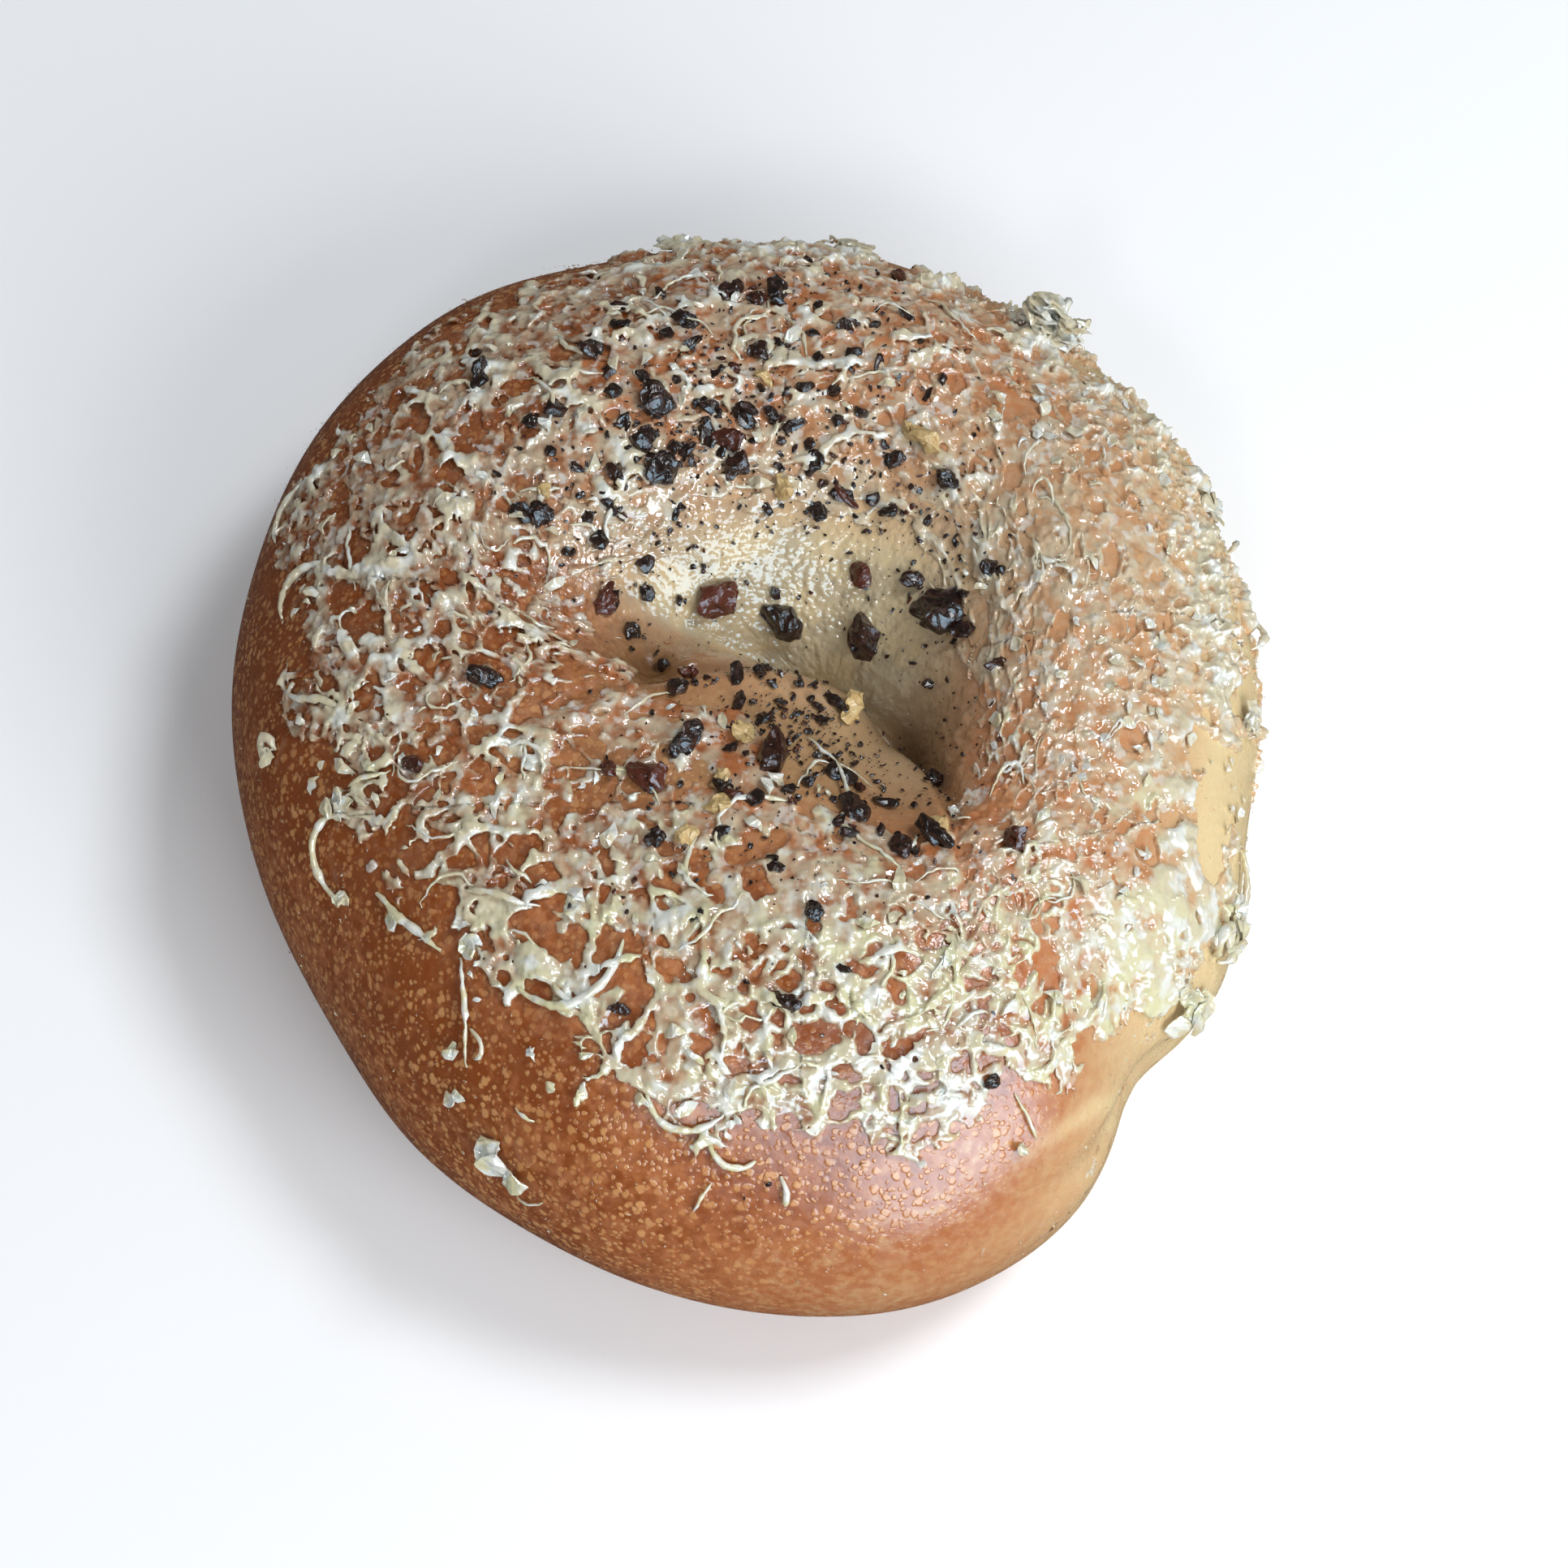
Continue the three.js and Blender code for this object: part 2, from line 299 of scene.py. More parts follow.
    def baked(self, points):
        """How baked the crust is at each point, 0 pale to 1 dark; the paler east is partly painted light."""
        x, y, z = points.T
        mark = STRETCH_MARK
        along_x, along_y = mark["along"]
        along = (x - mark["x"]) * along_x + (y - mark["y"]) * along_y
        across = (x - mark["x"]) * along_y - (y - mark["y"]) * along_x
        # Partly painted light: the east side, which faces the lamps, is made paler.
        east = smooth_step(x, 14, 42) * (1 - 0.5 * smooth_step(z, 30, 36))
        east = east * (1 - 0.4 * smooth_step(-y, 14, 32))
        shares = {
            "crown": smooth_step(z, 28, 37),
            "heel": bell(np.hypot(x - 9, y + 48) / 17) * smooth_step(z, 20, 32),
            "east": east,
            "low": smooth_step(-x, 36, 50) * smooth_step(-z, -34, -18),
            "middle": bell(np.hypot(x - 2, y - 8) / 24) * smooth_step(z, 14, 26),
            "mark": bell(across / mark["width"]) * bell((along - mark["middle"]) / mark["reach"]),
        }
        west = 0.5 - x / np.where(x < 0, 112, 150)
        return west + sum(BAKE[place] * share for place, share in shares.items())

    def soft(self, x, y, bearing):
        """1 on the wet wall beyond the crease, 0 away from it. The bearing is that in the even ring."""
        past = np.sin(bearing - TROUGH_BEARING)
        return bell(x / 22) * bell((y - 5) / 10) * smooth_step(past, -0.2, 0.3)

    def laid_on(self, sheet):
        """Points of a flat sheet (x, y, height above it), laid on the crust."""
        x, y, height = sheet.T
        step = 0.35
        east = self.skin(x + step, y) - self.skin(x - step, y)
        north = self.skin(x, y + step) - self.skin(x, y - step)
        normal = np.cross(east, north)
        normal /= np.linalg.norm(normal, axis=1, keepdims=True) + 1e-9
        return self.skin(x, y) + normal * height[:, None]


def origin_shift(dough):
    """What takes a place round the dimple to the frame: both boxes share their low corner."""
    angle = np.linspace(-math.pi, math.pi, 721)
    side = np.stack([*round_dimple(dough.ring, angle), np.full_like(angle, dough.belly)], -1)
    low = dough.moulded(side).min(0)
    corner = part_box("bagel")[0]
    return np.array([corner.x / MM - low[0], corner.y / MM - low[1], 0])


def placed(points, dough):
    """Millimetres round the dimple to metres in the frame."""
    return (points + origin_shift(dough)) * MM


# ------------------------------------------------------------------ small tools


class Field:
    """A node's output. It adds, multiplies and so on like a number, each time by a node of its own."""

    def __init__(self, tree, socket):
        self.tree, self.socket = tree, socket

    def __add__(self, other):
        return self.tree.math("ADD", self, other)

    def __sub__(self, other):
        return self.tree.math("SUBTRACT", self, other)

    def __rsub__(self, other):
        return self.tree.math("SUBTRACT", other, self)

    def __mul__(self, other):
        return self.tree.math("MULTIPLY", self, other)

    def __truediv__(self, other):
        return self.tree.math("DIVIDE", self, other)

    __radd__, __rmul__ = __add__, __mul__


class Tree:
    """Fills a node tree. A value may be a number, a tuple or a field."""

    def __init__(self, tree):
        self.tree = tree

    def node(self, kind, **settings):
        made = self.tree.nodes.new(kind)
        for name, value in settings.items():
            setattr(made, name, value)
        return made

    def feed(self, socket, value):
        if isinstance(value, Field):
            self.tree.links.new(value.socket, socket)
        else:
            socket.default_value = value

    def call(self, kind, inputs, output=0, **settings):
        """Feeds a new node and returns its output, or a list of outputs where several are named."""
        made = self.node(kind, **settings)
        for key, value in inputs.items():
            self.feed(made.inputs[key], value)
        if isinstance(output, tuple):
            return [Field(self, made.outputs[name]) for name in output]
        return Field(self, made.outputs[output])

    def math(self, operation, *values):
        return self.call("ShaderNodeMath", dict(enumerate(values)), operation=operation)

    def vector(self, operation, *values, output=0):
        return self.call("ShaderNodeVectorMath", dict(enumerate(values)), output, operation=operation)

    def split(self, vector):
        return self.call("ShaderNodeSeparateXYZ", {"Vector": vector}, ("X", "Y", "Z"))

    def join(self, x=0.0, y=0.0, z=0.0):
        return self.call("ShaderNodeCombineXYZ", {"X": x, "Y": y, "Z": z})

    def bell(self, value):
        return self.math("EXPONENT", value * value * -1.0)

    def noise(self, vector, grain, seed, detail=2.0, output=0):
        """Soft noise from 0 to 1 whose patches are about `grain` across."""
        return self.call("ShaderNodeTexNoise", {
            "Vector": vector, "W": seed, "Scale": self.math("DIVIDE", 1.0, grain), "Detail": detail,
        }, output, noise_dimensions="4D")

    def push(self, vector, grain, seed, detail=2.0):
        """A soft random vector whose parts go from -0.5 to 0.5."""
        return self.vector("SUBTRACT", self.noise(vector, grain, seed, detail, 1), (0.5, 0.5, 0.5))

    def ramp(self, value, low, high, start=0.0, end=1.0, smooth=True):
        """Takes low..high to start..end and holds outside."""
        return self.call("ShaderNodeMapRange", {
            "Value": value, "From Min": low, "From Max": high, "To Min": start, "To Max": end,
        }, interpolation_type="SMOOTHSTEP" if smooth else "LINEAR")

    def mix_value(self, share, first, second):
        return self.call("ShaderNodeMix", {"Factor": share, "A": first, "B": second}, data_type="FLOAT")

    def mix(self, share, first, second):
        """Goes from the first colour to the second as the share goes from 0 to 1."""
        made = self.node("ShaderNodeMix", data_type="RGBA")
        sockets = {s.identifier: s for s in made.inputs}
        self.feed(sockets["Factor_Float"], share)
        for key, value in (("A_Color", first), ("B_Color", second)):
            self.feed(sockets[key], value if isinstance(value, Field) else (*value, 1.0))
        return Field(self, next(s for s in made.outputs if s.identifier == "Result_Color"))

    def read(self, name, kind="FLOAT"):
        """A value that the mesh keeps for each of its points."""
        if self.tree.type == "SHADER":
            return self.call("ShaderNodeAttribute", {}, "Fac", attribute_name=name)
        return self.call("GeometryNodeInputNamedAttribute", {"Name": name}, "Attribute", data_type=kind)


def geometry_tree(name, inputs, source=False):
    """A new geometry tree with named inputs, given with their defaults, and perhaps a source."""
    kinds = {float: "NodeSocketFloat", int: "NodeSocketInt", tuple: "NodeSocketVector"}
    tree = bpy.data.node_groups.new(name, "GeometryNodeTree")
    tree.interface.new_socket("Geometry", in_out="OUTPUT", socket_type="NodeSocketGeometry")
    if source:
        tree.interface.new_socket("Source", in_out="INPUT", socket_type="NodeSocketGeometry")
    for label, default in inputs.items():
        socket = tree.interface.new_socket(label, in_out="INPUT", socket_type=kinds[type(default)])
        socket.default_value = default
    t = Tree(tree)
    return t, {s.name: Field(t, s) for s in t.node("NodeGroupInput").outputs if s.name}


def end_tree(t, geometry, material):
    """Every geometry tree ends in real geometry with its material."""
    real = t.call("GeometryNodeRealizeInstances", {"Geometry": geometry})
    dressed = t.call("GeometryNodeSetMaterial", {"Geometry": real, "Material": material})
    t.feed(t.node("NodeGroupOutput").inputs[0], dressed)
    return t.tree


def put_in_scene(name, data):
    """A new object in the scene, with its mesh, light or camera."""
    made = bpy.data.objects.new(name, data)
    bpy.context.scene.collection.objects.link(made)
    return made


def grown(name, tree, values, source=None):
    """Runs a geometry tree and returns its result as a plain mesh."""
    carrier = put_in_scene(name + " source", source or bpy.data.meshes.new(name + " source"))
    modifier = carrier.modifiers.new(name, "NODES")
    modifier.node_group = tree
    for item in tree.interface.items_tree:
        if item.in_out == "INPUT" and item.name in values:
            modifier[item.identifier] = values[item.name]
    carrier.update_tag()
    evaluated = carrier.evaluated_get(bpy.context.evaluated_depsgraph_get())
    mesh = bpy.data.meshes.new_from_object(evaluated)
    bpy.data.objects.remove(carrier)
    if not mesh.polygons:
        raise RuntimeError(f"{name} came out empty")
    mesh.name = name
    return mesh


def keep_values(mesh, name, values):
    """Stores one number for each point, for the materials to read."""
    layer = mesh.attributes.get(name) or mesh.attributes.new(name, "FLOAT", "POINT")
    layer.data.foreach_set("value", np.asarray(values, np.float32))


def sheet_to_crust(mesh, dough):
    """Lays a mesh made on the flat sheet (in metres) on the crust, and keeps its height as `lift`."""
    flat = np.empty(len(mesh.vertices) * 3, np.float32)
    mesh.vertices.foreach_get("co", flat)
    sheet = flat.reshape(-1, 3).astype(float) / MM
    points = dough.laid_on(sheet)
    keep_values(mesh, "lift", sheet[:, 2])
    keep_values(mesh, "bake", dough.baked(points))
    keep_values(mesh, "soft", dough.soft(*points.T[:2], np.arctan2(sheet[:, 1], sheet[:, 0])))
    mesh.vertices.foreach_set("co", placed(points, dough).astype(np.float32).ravel())
    mesh.update()


def finish_piece(name, mesh, smooth=True):
    """Puts a mesh in the scene as a finished piece of the bagel."""
    mesh.polygons.foreach_set("use_smooth", [smooth] * len(mesh.polygons))
    mesh.update()
    piece = put_in_scene(name, mesh)
    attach(piece, "root")
    return piece


# ------------------------------------------------------------------ materials

# Clouds in how baked the crust is: grain in millimetres, seed and how far they go either way.
CRUST_CLOUDS = ((12, 1, 0.1), (3.5, 12, 0.08), (1.0, 2, 0.16))


class Surface(Tree):
    """A new material, worked out from the place on the object."""

    def __init__(self, name):
        self.material = bpy.data.materials.new(name)
        self.material.use_nodes = True
        super().__init__(self.material.node_tree)
        self.place = self.call("ShaderNodeTexCoord", {}, "Object")

    def patches(self, grain, seed, low, high, start=0.0, end=1.0):
        """Soft patches from start to end, with their grain in millimetres."""
        return self.ramp(self.noise(self.place, grain * MM, seed), low, high, start, end)

    def dress(self, values, bump, strength, depth):
        """Sets the shader's sockets and its bump, and returns the material."""
        shader = self.tree.nodes["Principled BSDF"]
        for name, value in values.items():
            self.feed(shader.inputs[name], value)
        normal = self.call("ShaderNodeBump", {"Height": bump, "Strength": strength, "Distance": depth})
        self.feed(shader.inputs["Normal"], normal)
        return self.material


def crust_tone(t, soaked):
    """The crust's colour by how baked it is and how soaked with fat, cloudy and finely mottled."""
    colours = bpy.context.scene.bagel_colours
    even, uneven = t.read("bake"), 0.0
    for grain, seed, reach in CRUST_CLOUDS:
        uneven += t.patches(grain, seed, 0.3, 0.7, -reach, reach)
    baked = even + uneven * t.ramp(even, 0.3, 0.75, 0.12, 1.0)
    colour = t.mix(t.ramp(baked, 0.05, 0.55), colours.crust_pale, colours.crust_mid)
    colour = t.mix(t.math("MULTIPLY", soaked, 0.6), colour, colours.oiled)
    return t.mix(t.ramp(baked, 0.45, 0.92), colour, colours.crust_dark)


def blisters(t, spacing, share):
    """Round specks about half the spacing across, on part of the cells: 1 inside, 0 outside."""
    bend = t.vector("MULTIPLY", t.push(t.place, spacing, 4.0, 1.0), (spacing * 0.7,) * 3)
    distance, draw = t.call("ShaderNodeTexVoronoi", {
        "Vector": t.vector("ADD", t.place, bend), "Scale": 1 / spacing,
    }, ("Distance", "Color"), voronoi_dimensions="3D")
    chance = t.call("ShaderNodeSeparateColor", {"Color": draw})
    off = distance / t.ramp(chance, 1 - share, 1.0, 0.2, 0.58, smooth=False)
    there = t.ramp(chance, 1 - share, 1.0, 0.45, 1.0, smooth=False)
    there = there * t.math("GREATER_THAN", chance, 1 - share)
    return there * t.ramp(off, 0.55, 1.05, 1.0, 0.0)


def crust_material():
    """Baked dough: pale blisters on the bare crust, a frosty film on top and a wet sheen round the crease."""
    colours = bpy.context.scene.bagel_colours
    t = Surface("crust")
    film, wet = t.read("film"), t.read("wet")
    colour = crust_tone(t, film)

    patch = t.patches(8, 5, 0.36, 0.6, 0.65, 1.0) * t.ramp(t.read("bake"), 0.4, 0.65, 0.15, 1.0)
    speck = t.math("MAXIMUM", blisters(t, 1.0 * MM, 0.85), blisters(t, 0.6 * MM, 0.8))
    speck = speck * patch * t.ramp(film, 0.0, 0.6, 1.0, 0.3)
    colour = t.mix(speck * 0.88, colour, colours.blister)

    colour = t.mix(t.read("tan"), colour, colours.lobe)
    crumb = t.mix(t.patches(4.5, 14, 0.42, 0.62, 0.0, 0.55), colours.crumb, colours.crust_pale)
    colour = t.mix(t.read("crumb"), colour, crumb)

    # Frost: cheese melted so thin that it only clouds the crust.
    frost = (t.patches(3.5, 7, 0.36, 0.66) * 0.1 + t.patches(0.8, 8, 0.44, 0.64) * 0.14) * film
    colour = t.mix(frost, colour, colours.cheese)
    # Painted shade: the crust darkens towards the crease colour in the crease and its pits, where shade
    # falls.
    colour = t.mix(t.read("deep") * 0.82, colour, colours.crease)

    rough = t.ramp(film, 0.0, 1.0, 0.27, 0.24) + t.patches(1.6, 2, 0.3, 0.7, -0.06, 0.06)
    bubbles = t.call("ShaderNodeTexVoronoi", {
        "Vector": t.place, "Scale": 1 / (0.75 * MM),
    }, "Distance", voronoi_dimensions="3D")
    foam = t.ramp(bubbles, 0.1, 0.7, 1.0, 0.0) * wet
    wrinkle = t.noise(t.place, 0.7 * MM, 3) * t.ramp(film, 0.0, 1.0, 0.12, 0.4)
    return t.dress({
        "Base Color": colour, "Roughness": t.mix_value(wet, rough, 0.07), "Specular IOR Level": 0.7,
        "Subsurface Weight": 0.12, "Subsurface Radius": (1.0, 0.45, 0.2), "Subsurface Scale": 1.2 * MM,
    }, speck * 0.45 + wrinkle + frost * 1.2 + foam * 0.7, 0.5, 0.3 * MM)


def cheese_material(name="cheese", thin=0.25, full=0.85):
    """Melted cheese: the crust shows through where it is thin, and it is cream to white where it is thick."""
    colours = bpy.context.scene.bagel_colours
    t = Surface(name)
    uneven = t.noise(t.place, 1.8 * MM, 4)
    _, along, _ = t.split(t.place)
    near = t.ramp(along * (-1 / (50 * MM)) + t.patches(6, 6, 0.3, 0.7, -0.3, 0.3), 0.1, 0.75)
    thick = t.read("lift") + t.ramp(uneven, 0.3, 0.7, -0.22, 0.22) + near * 0.3
    yellow = near * t.patches(3.5, 9, 0.36, 0.64, 0.1, 1.0)
    white = t.patches(2.2, 5, 0.46, 0.6) * t.ramp(thick, 0.3, 0.9, 0.0, 0.85)
    body = t.mix(white, t.mix(yellow, colours.cheese, colours.cheese_yellow), colours.cheese_white)
    under = t.mix(t.read("soft"), crust_tone(t, 0.8), colours.crumb)
    under = t.mix(t.patches(2.0, 11, 0.38, 0.64, 0.03, 0.6), under, colours.cheese)
    under = t.mix(t.patches(1.3, 15, 0.54, 0.64, 0.0, 0.5), under, colours.cheese_white)
    return t.dress({
        "Base Color": t.mix(t.ramp(thick, thin, full), under, body),
        "Roughness": t.ramp(uneven, 0.3, 0.7, 0.08, 0.2), "Specular IOR Level": 0.9,
        "Subsurface Weight": 0.3, "Subsurface Radius": (1.0, 0.65, 0.4), "Subsurface Scale": 0.9 * MM,
    }, t.noise(t.place, 1.1 * MM, 8, 1), 0.8, 0.5 * MM)


def pepper_material(name, light, dark, roughness):
    """Cracked pepper: `tone` of each piece goes from dark to light."""
    t = Surface(name)
    mottle = t.noise(t.place, 0.6 * MM, 9)
    share = t.read("tone") + t.ramp(mottle, 0.3, 0.7, -0.2, 0.2)
    return t.dress({
        "Base Color": t.mix(share, dark, light),
        "Roughness": t.ramp(mottle, 0.3, 0.7, roughness - 0.12, roughness + 0.12),
        "Coat Weight": 0.35, "Coat Roughness": 0.15,
    }, t.noise(t.place, 0.3 * MM, 3), 0.5, 0.15 * MM)


# ------------------------------------------------------------------ dough


def ring_faces(rows, around, first, last):
    """Faces of rings of points, one above the other, closed by a first and a last single point."""
    here = np.arange(around)
    there = (here + 1) % around
    top = (rows - 1) * around
    quads = [
        np.stack([low + here, low + there, low + around + there, low + around + here], -1)
        for low in range(0, top, around)
    ]
    faces = np.concatenate(quads).tolist()
    faces += np.stack([np.full(around, first), there, here], -1).tolist()
    faces += np.stack([np.full(around, last), top + here, top + there], -1).tolist()
    return faces


def dough_mesh(dough, around, steps):
    """The whole outside of the dough as one closed skin, from the navel round to the dimple."""
    radius, depth = dough.navel
    u = np.linspace(0, 1, 6)[1:, None]
    corners = np.array([[0.0, depth], [0.7 * radius, depth], [radius, 0.0]])
    navel = 2 * (1 - u) * u * corners[1] + u * u * corners[2] + (1 - u) ** 2 * corners[0]
    flat = np.stack([np.linspace(radius, dough.base, 8)[1:-1], np.zeros(6)], -1)
    side, shoulder, wall = dough.arcs(steps)
    section = np.concatenate([navel, flat, side, shoulder[1:], wall[1:-1]])
    angle = np.linspace(0, 2 * math.pi, around, endpoint=False)
    rings = np.stack([*round_dimple(section[:, :1], angle), section[:, 1:] + 0 * angle], -1)
    even = np.concatenate([rings.reshape(-1, 3), [[0, 0, depth]], [[1e-6, 0, dough.floor]]])
    faces = ring_faces(len(section), around, len(even) - 2, len(even) - 1)
    points = dough.moulded(even)
    mesh = bpy.data.meshes.new("crust")
    mesh.from_pydata(placed(points, dough).tolist(), [], faces)

    # For the material: the film inside the cheese's border, the wet wall beyond the crease, the smooth
    # tan lobe before it, and pale soft dough in and round the dimple.
    x, y, z = points.T
    sheet = np.interp(np.hypot(even[:, 0], even[:, 1]), dough.section[:, 0], dough.sheet_radius)
    upper = (even[:, 2] > dough.belly).astype(float)
    bearing = np.arctan2(even[:, 1], even[:, 0])
    past = np.sin(bearing - TROUGH_BEARING)
    east = smooth_step(x * 0.9 + y * 0.2, -14, 14)
    inside = (1 - smooth_step(sheet, 40, 50)) * upper
    wet = upper * dough.soft(x, y, bearing)
    lobe = bell((x - 2) / 20) * bell((y + 15) / 9) * upper * smooth_step(-past, -0.2, 0.3)
    # Painted shade in the crease and its pits.
    deep = dough.in_crease(x, y) * smooth_step(even[:, 2], LOBE["start"], LOBE["end"])
    keep_values(mesh, "deep", np.clip(deep, 0, 1))
    keep_values(mesh, "bake", dough.baked(points) + BAKE["foot"] * smooth_step(-z, -9, 0))
    keep_values(mesh, "film", inside * (0.4 + 0.6 * east) * (1 - 0.8 * lobe))
    keep_values(mesh, "wet", wet)
    keep_values(mesh, "tan", 0.85 * lobe)
    keep_values(mesh, "crumb", np.clip(0.95 * wet + 0.6 * upper * bell(sheet / 9), 0, 0.95))
    return mesh


def relief_tree(material):
    """Small swellings of the melted film over the crust, and froth on the wet wall."""
    t, given = geometry_tree("film relief", {
        "Grain": 1.3 * MM, "Swell": 0.3 * MM, "Froth": 0.16 * MM,
    }, source=True)
    place = t.call("GeometryNodeInputPosition", {})
    soft = t.ramp(t.noise(place, given["Grain"], 11), 0.42, 0.7)
    wide = t.ramp(t.noise(place, 4 * MM, 12, 1), 0.3, 0.7, 0.2, 1.0)
    froth = t.ramp(t.noise(place, 0.9 * MM, 13), 0.35, 0.7) * t.read("wet")
    offset = soft * wide * (t.read("film") * given["Swell"]) + froth * given["Froth"]
    normal = t.call("GeometryNodeInputNormal", {})
    moved = t.call("GeometryNodeSetPosition", {
        "Geometry": given["Source"], "Offset": t.vector("MULTIPLY", normal, t.join(offset, offset, offset)),
    })
    return end_tree(t, moved, material)


class BAGEL_OT_bake_dough(Operator):
    """Make the ring of baked dough"""

    bl_idname = "bagel.bake_dough"
    bl_label = "Bake Dough"

    def execute(self, context):
        bare = dough_mesh(Dough(context.scene.bagel_form), DOUGH_ROUND, DOUGH_STEPS)
        mesh = grown("crust", relief_tree(crust_material()), {}, bare)
        piece = finish_piece("crust", mesh)
        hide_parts("bagel")
        return {"FINISHED"}


# ------------------------------------------------------------------ melted cheese

# The edge of the cheese on the flat sheet goes in and out: bays of (bearing, width, change), in degrees and
# millimetres, on top of the border that the toppings give. The bare middle has bays of its own, for the lace
# and for the low film.
BORDER_BAYS = ((-135, 30, -5), (-67, 8, -4), (-30, 28, 12), (22, 20, 7), (162, 7, 8), (105, 12, 3))
MIDDLE_RADIUS = 12
LACE_BAYS = ((-80, 65, 16),)
FILM_BAYS = ((-80, 50, 4),)
EDGE_WIDTH = 4 * MM
# Gaps in the cheese, where the crust is bare: bearing, distance and radius on the flat sheet.
GAPS = (
    (-16, 51.5, 4.6), (-22, 50.5, 4.2), (-28, 50.5, 3.0), (51, 32.6, 2.2), (47, 34.0, 1.6), (-33, 41.8, 1.7),
    (-15, 36.9, 1.5), (-57, 39.7, 1.5), (-58, 41.5, 1.2), (40, 26.6, 1.2), (-27, 43.8, 1.3),
    (-14, 46.5, 2.6), (-12, 57.0, 3.8), (-18, 58.5, 4.6), (-25, 58.0, 3.0), (-9, 60.5, 3.6), (-14, 62.0, 3.4),
)
# The lace is made in tiles of the flat sheet, cut at these places across and along it, in millimetres.
TILES_ACROSS = {"left": (-58, 0), "right": (0, 63)}
TILES_ALONG = {"near": (-63, -20), "front": (-20, 4), "back": (4, 27), "far": (27, 56)}
LACE_LOW, LACE_HIGH = -0.3, 2.3


class Sheet:
    """Fields over the flat sheet, for a geometry tree: where things are and what the cheese is like there."""

    def __init__(self, t, seed):
        self.t, self.seed = t, seed
        self.x, self.y, self.height = t.split(t.call("GeometryNodeInputPosition", {}))
        self.flat = t.join(self.x, self.y)
        self.distance = t.vector("LENGTH", self.flat, output="Value")
        self.bearing = t.math("ARCTAN2", self.y, self.x)

    def patches(self, grain, offset, low, high, start=0.0, end=1.0, detail=2.0):
        """Soft patches from start to end, with their grain in millimetres."""
        t = self.t
        return t.ramp(t.noise(self.flat, grain * MM, self.seed + offset, detail), low, high, start, end)

    def sway(self, grain, reach, offset):
        """The flat place, moved softly by up to `reach`."""
        push = self.t.push(self.flat, grain, self.seed + offset)
        return self.t.vector("ADD", self.flat, self.t.vector("MULTIPLY", push, (2 * reach, 2 * reach, 0.0)))

    def bays(self, start, rows):
        """A distance that goes in and out with the bearing."""
        for bearing, width, change in rows:
            turn = self.t.math("WRAP", self.bearing - math.radians(bearing), math.pi, -math.pi)
            start = start + self.t.bell(turn / math.radians(width)) * (change * MM)
        return start

    def gaps(self, rows):
        """1 in the gaps and 0 outside them, with uneven borders."""
        t, bare = self.t, 0.0
        spot = self.sway(2.4 * MM, 2.2 * MM, 33)
        for bearing, distance, reach in rows:
            angle = math.radians(bearing)
            middle = (distance * MM * math.cos(angle), distance * MM * math.sin(angle), 0.0)
            away = t.vector("LENGTH", t.vector("SUBTRACT", spot, middle), output="Value")
            bare = t.math("MAXIMUM", bare, t.ramp(away, 0.7 * reach * MM, 1.1 * reach * MM, 1.0, 0.0))
        return bare

    def slope(self, across, along, low, high):
        """0 to 1 over the sheet in the direction (across, along), from low to high millimetres."""
        return self.t.ramp(self.x * across + self.y * along, low * MM, high * MM)


def cells(sheet, width, wander, offset):
    """Uneven cells about a width across: the distance from their borders, and a draw for each cell."""
    t = sheet.t
    spot = t.vector("ADD", sheet.sway(t.math("MULTIPLY", width, 0.8), wander, offset),
                    t.join(z=sheet.seed * width))
    inputs = {"Vector": spot, "Scale": t.math("DIVIDE", 1.0, width)}
    gap = t.call("ShaderNodeTexVoronoi", inputs, voronoi_dimensions="3D", feature="DISTANCE_TO_EDGE")
    draw = t.call("ShaderNodeTexVoronoi", inputs, "Color", voronoi_dimensions="3D", feature="F1")
    return gap * width, t.split(draw)[0]


def net(sheet, hole, strand, arch, gone, offset):
    """Strands round holes: share of the way out of the strand, height of its middle, and thickness.

    The strands are missing where a broad noise is below `gone`."""
    t = sheet.t
    gap, _ = cells(sheet, hole, 1.5 * MM, offset)
    fat = sheet.patches(2.2, offset + 1, 0.32, 0.7, 0.6, 1.9)
    fat = fat * sheet.patches(0.8, offset + 2, 0.3, 0.7, 0.55, 1.5)
    there = sheet.patches(4.5, offset + 3, gone, t.math("ADD", gone, 0.06))
    width = t.math("MAXIMUM", strand * (fat * there), 0.01 * MM)
    middle = sheet.patches(4.2, offset + 4, 0.4, 0.8) * arch
    return t.join(gap / width, middle, width * 0.35 + 0.12 * MM)


def film_level(sheet, amount, cover, openness, rough):
    """Height of the low film over part of the crust. Some of its cells are open, with raised rims."""
    t = sheet.t
    reach = sheet.patches(5, 20, 0.32, 0.68, -1.0, 1.0, 3) + (cover * 2.6 - 1.2)
    reach = t.math("MINIMUM", reach, t.ramp(amount, 0.0, 0.8, -1.0, 1.0))
    gap, draw = cells(sheet, 2.3 * MM, 0.9 * MM, 21)
    shut = t.math("GREATER_THAN", draw, openness)
    rim = sheet.patches(1.6, 23, 0.35, 0.7, 0.13 * MM, 0.42 * MM)
    rim = rim + sheet.patches(0.7, 29, 0.3, 0.7, -0.1 * MM, 0.16 * MM)
    hole = t.ramp((gap - rim) / (0.3 * MM), 0.0, 1.0, 0.0, -1.0 * MM) * (1 - shut)
    ridge = t.bell(gap / rim) * sheet.patches(2.0, 24, 0.35, 0.7, 0.04 * MM, 0.5 * MM) * (1 - shut * 0.55)
    grain = sheet.patches(1.0, 22, 0.4, 0.72) * rough
    base = sheet.patches(3, 25, 0.3, 0.7, 0.02 * MM, 0.3 * MM)
    return base + (grain + (hole + ridge)) + t.ramp(reach, -0.3, 0.2, -0.9 * MM, 0.0)


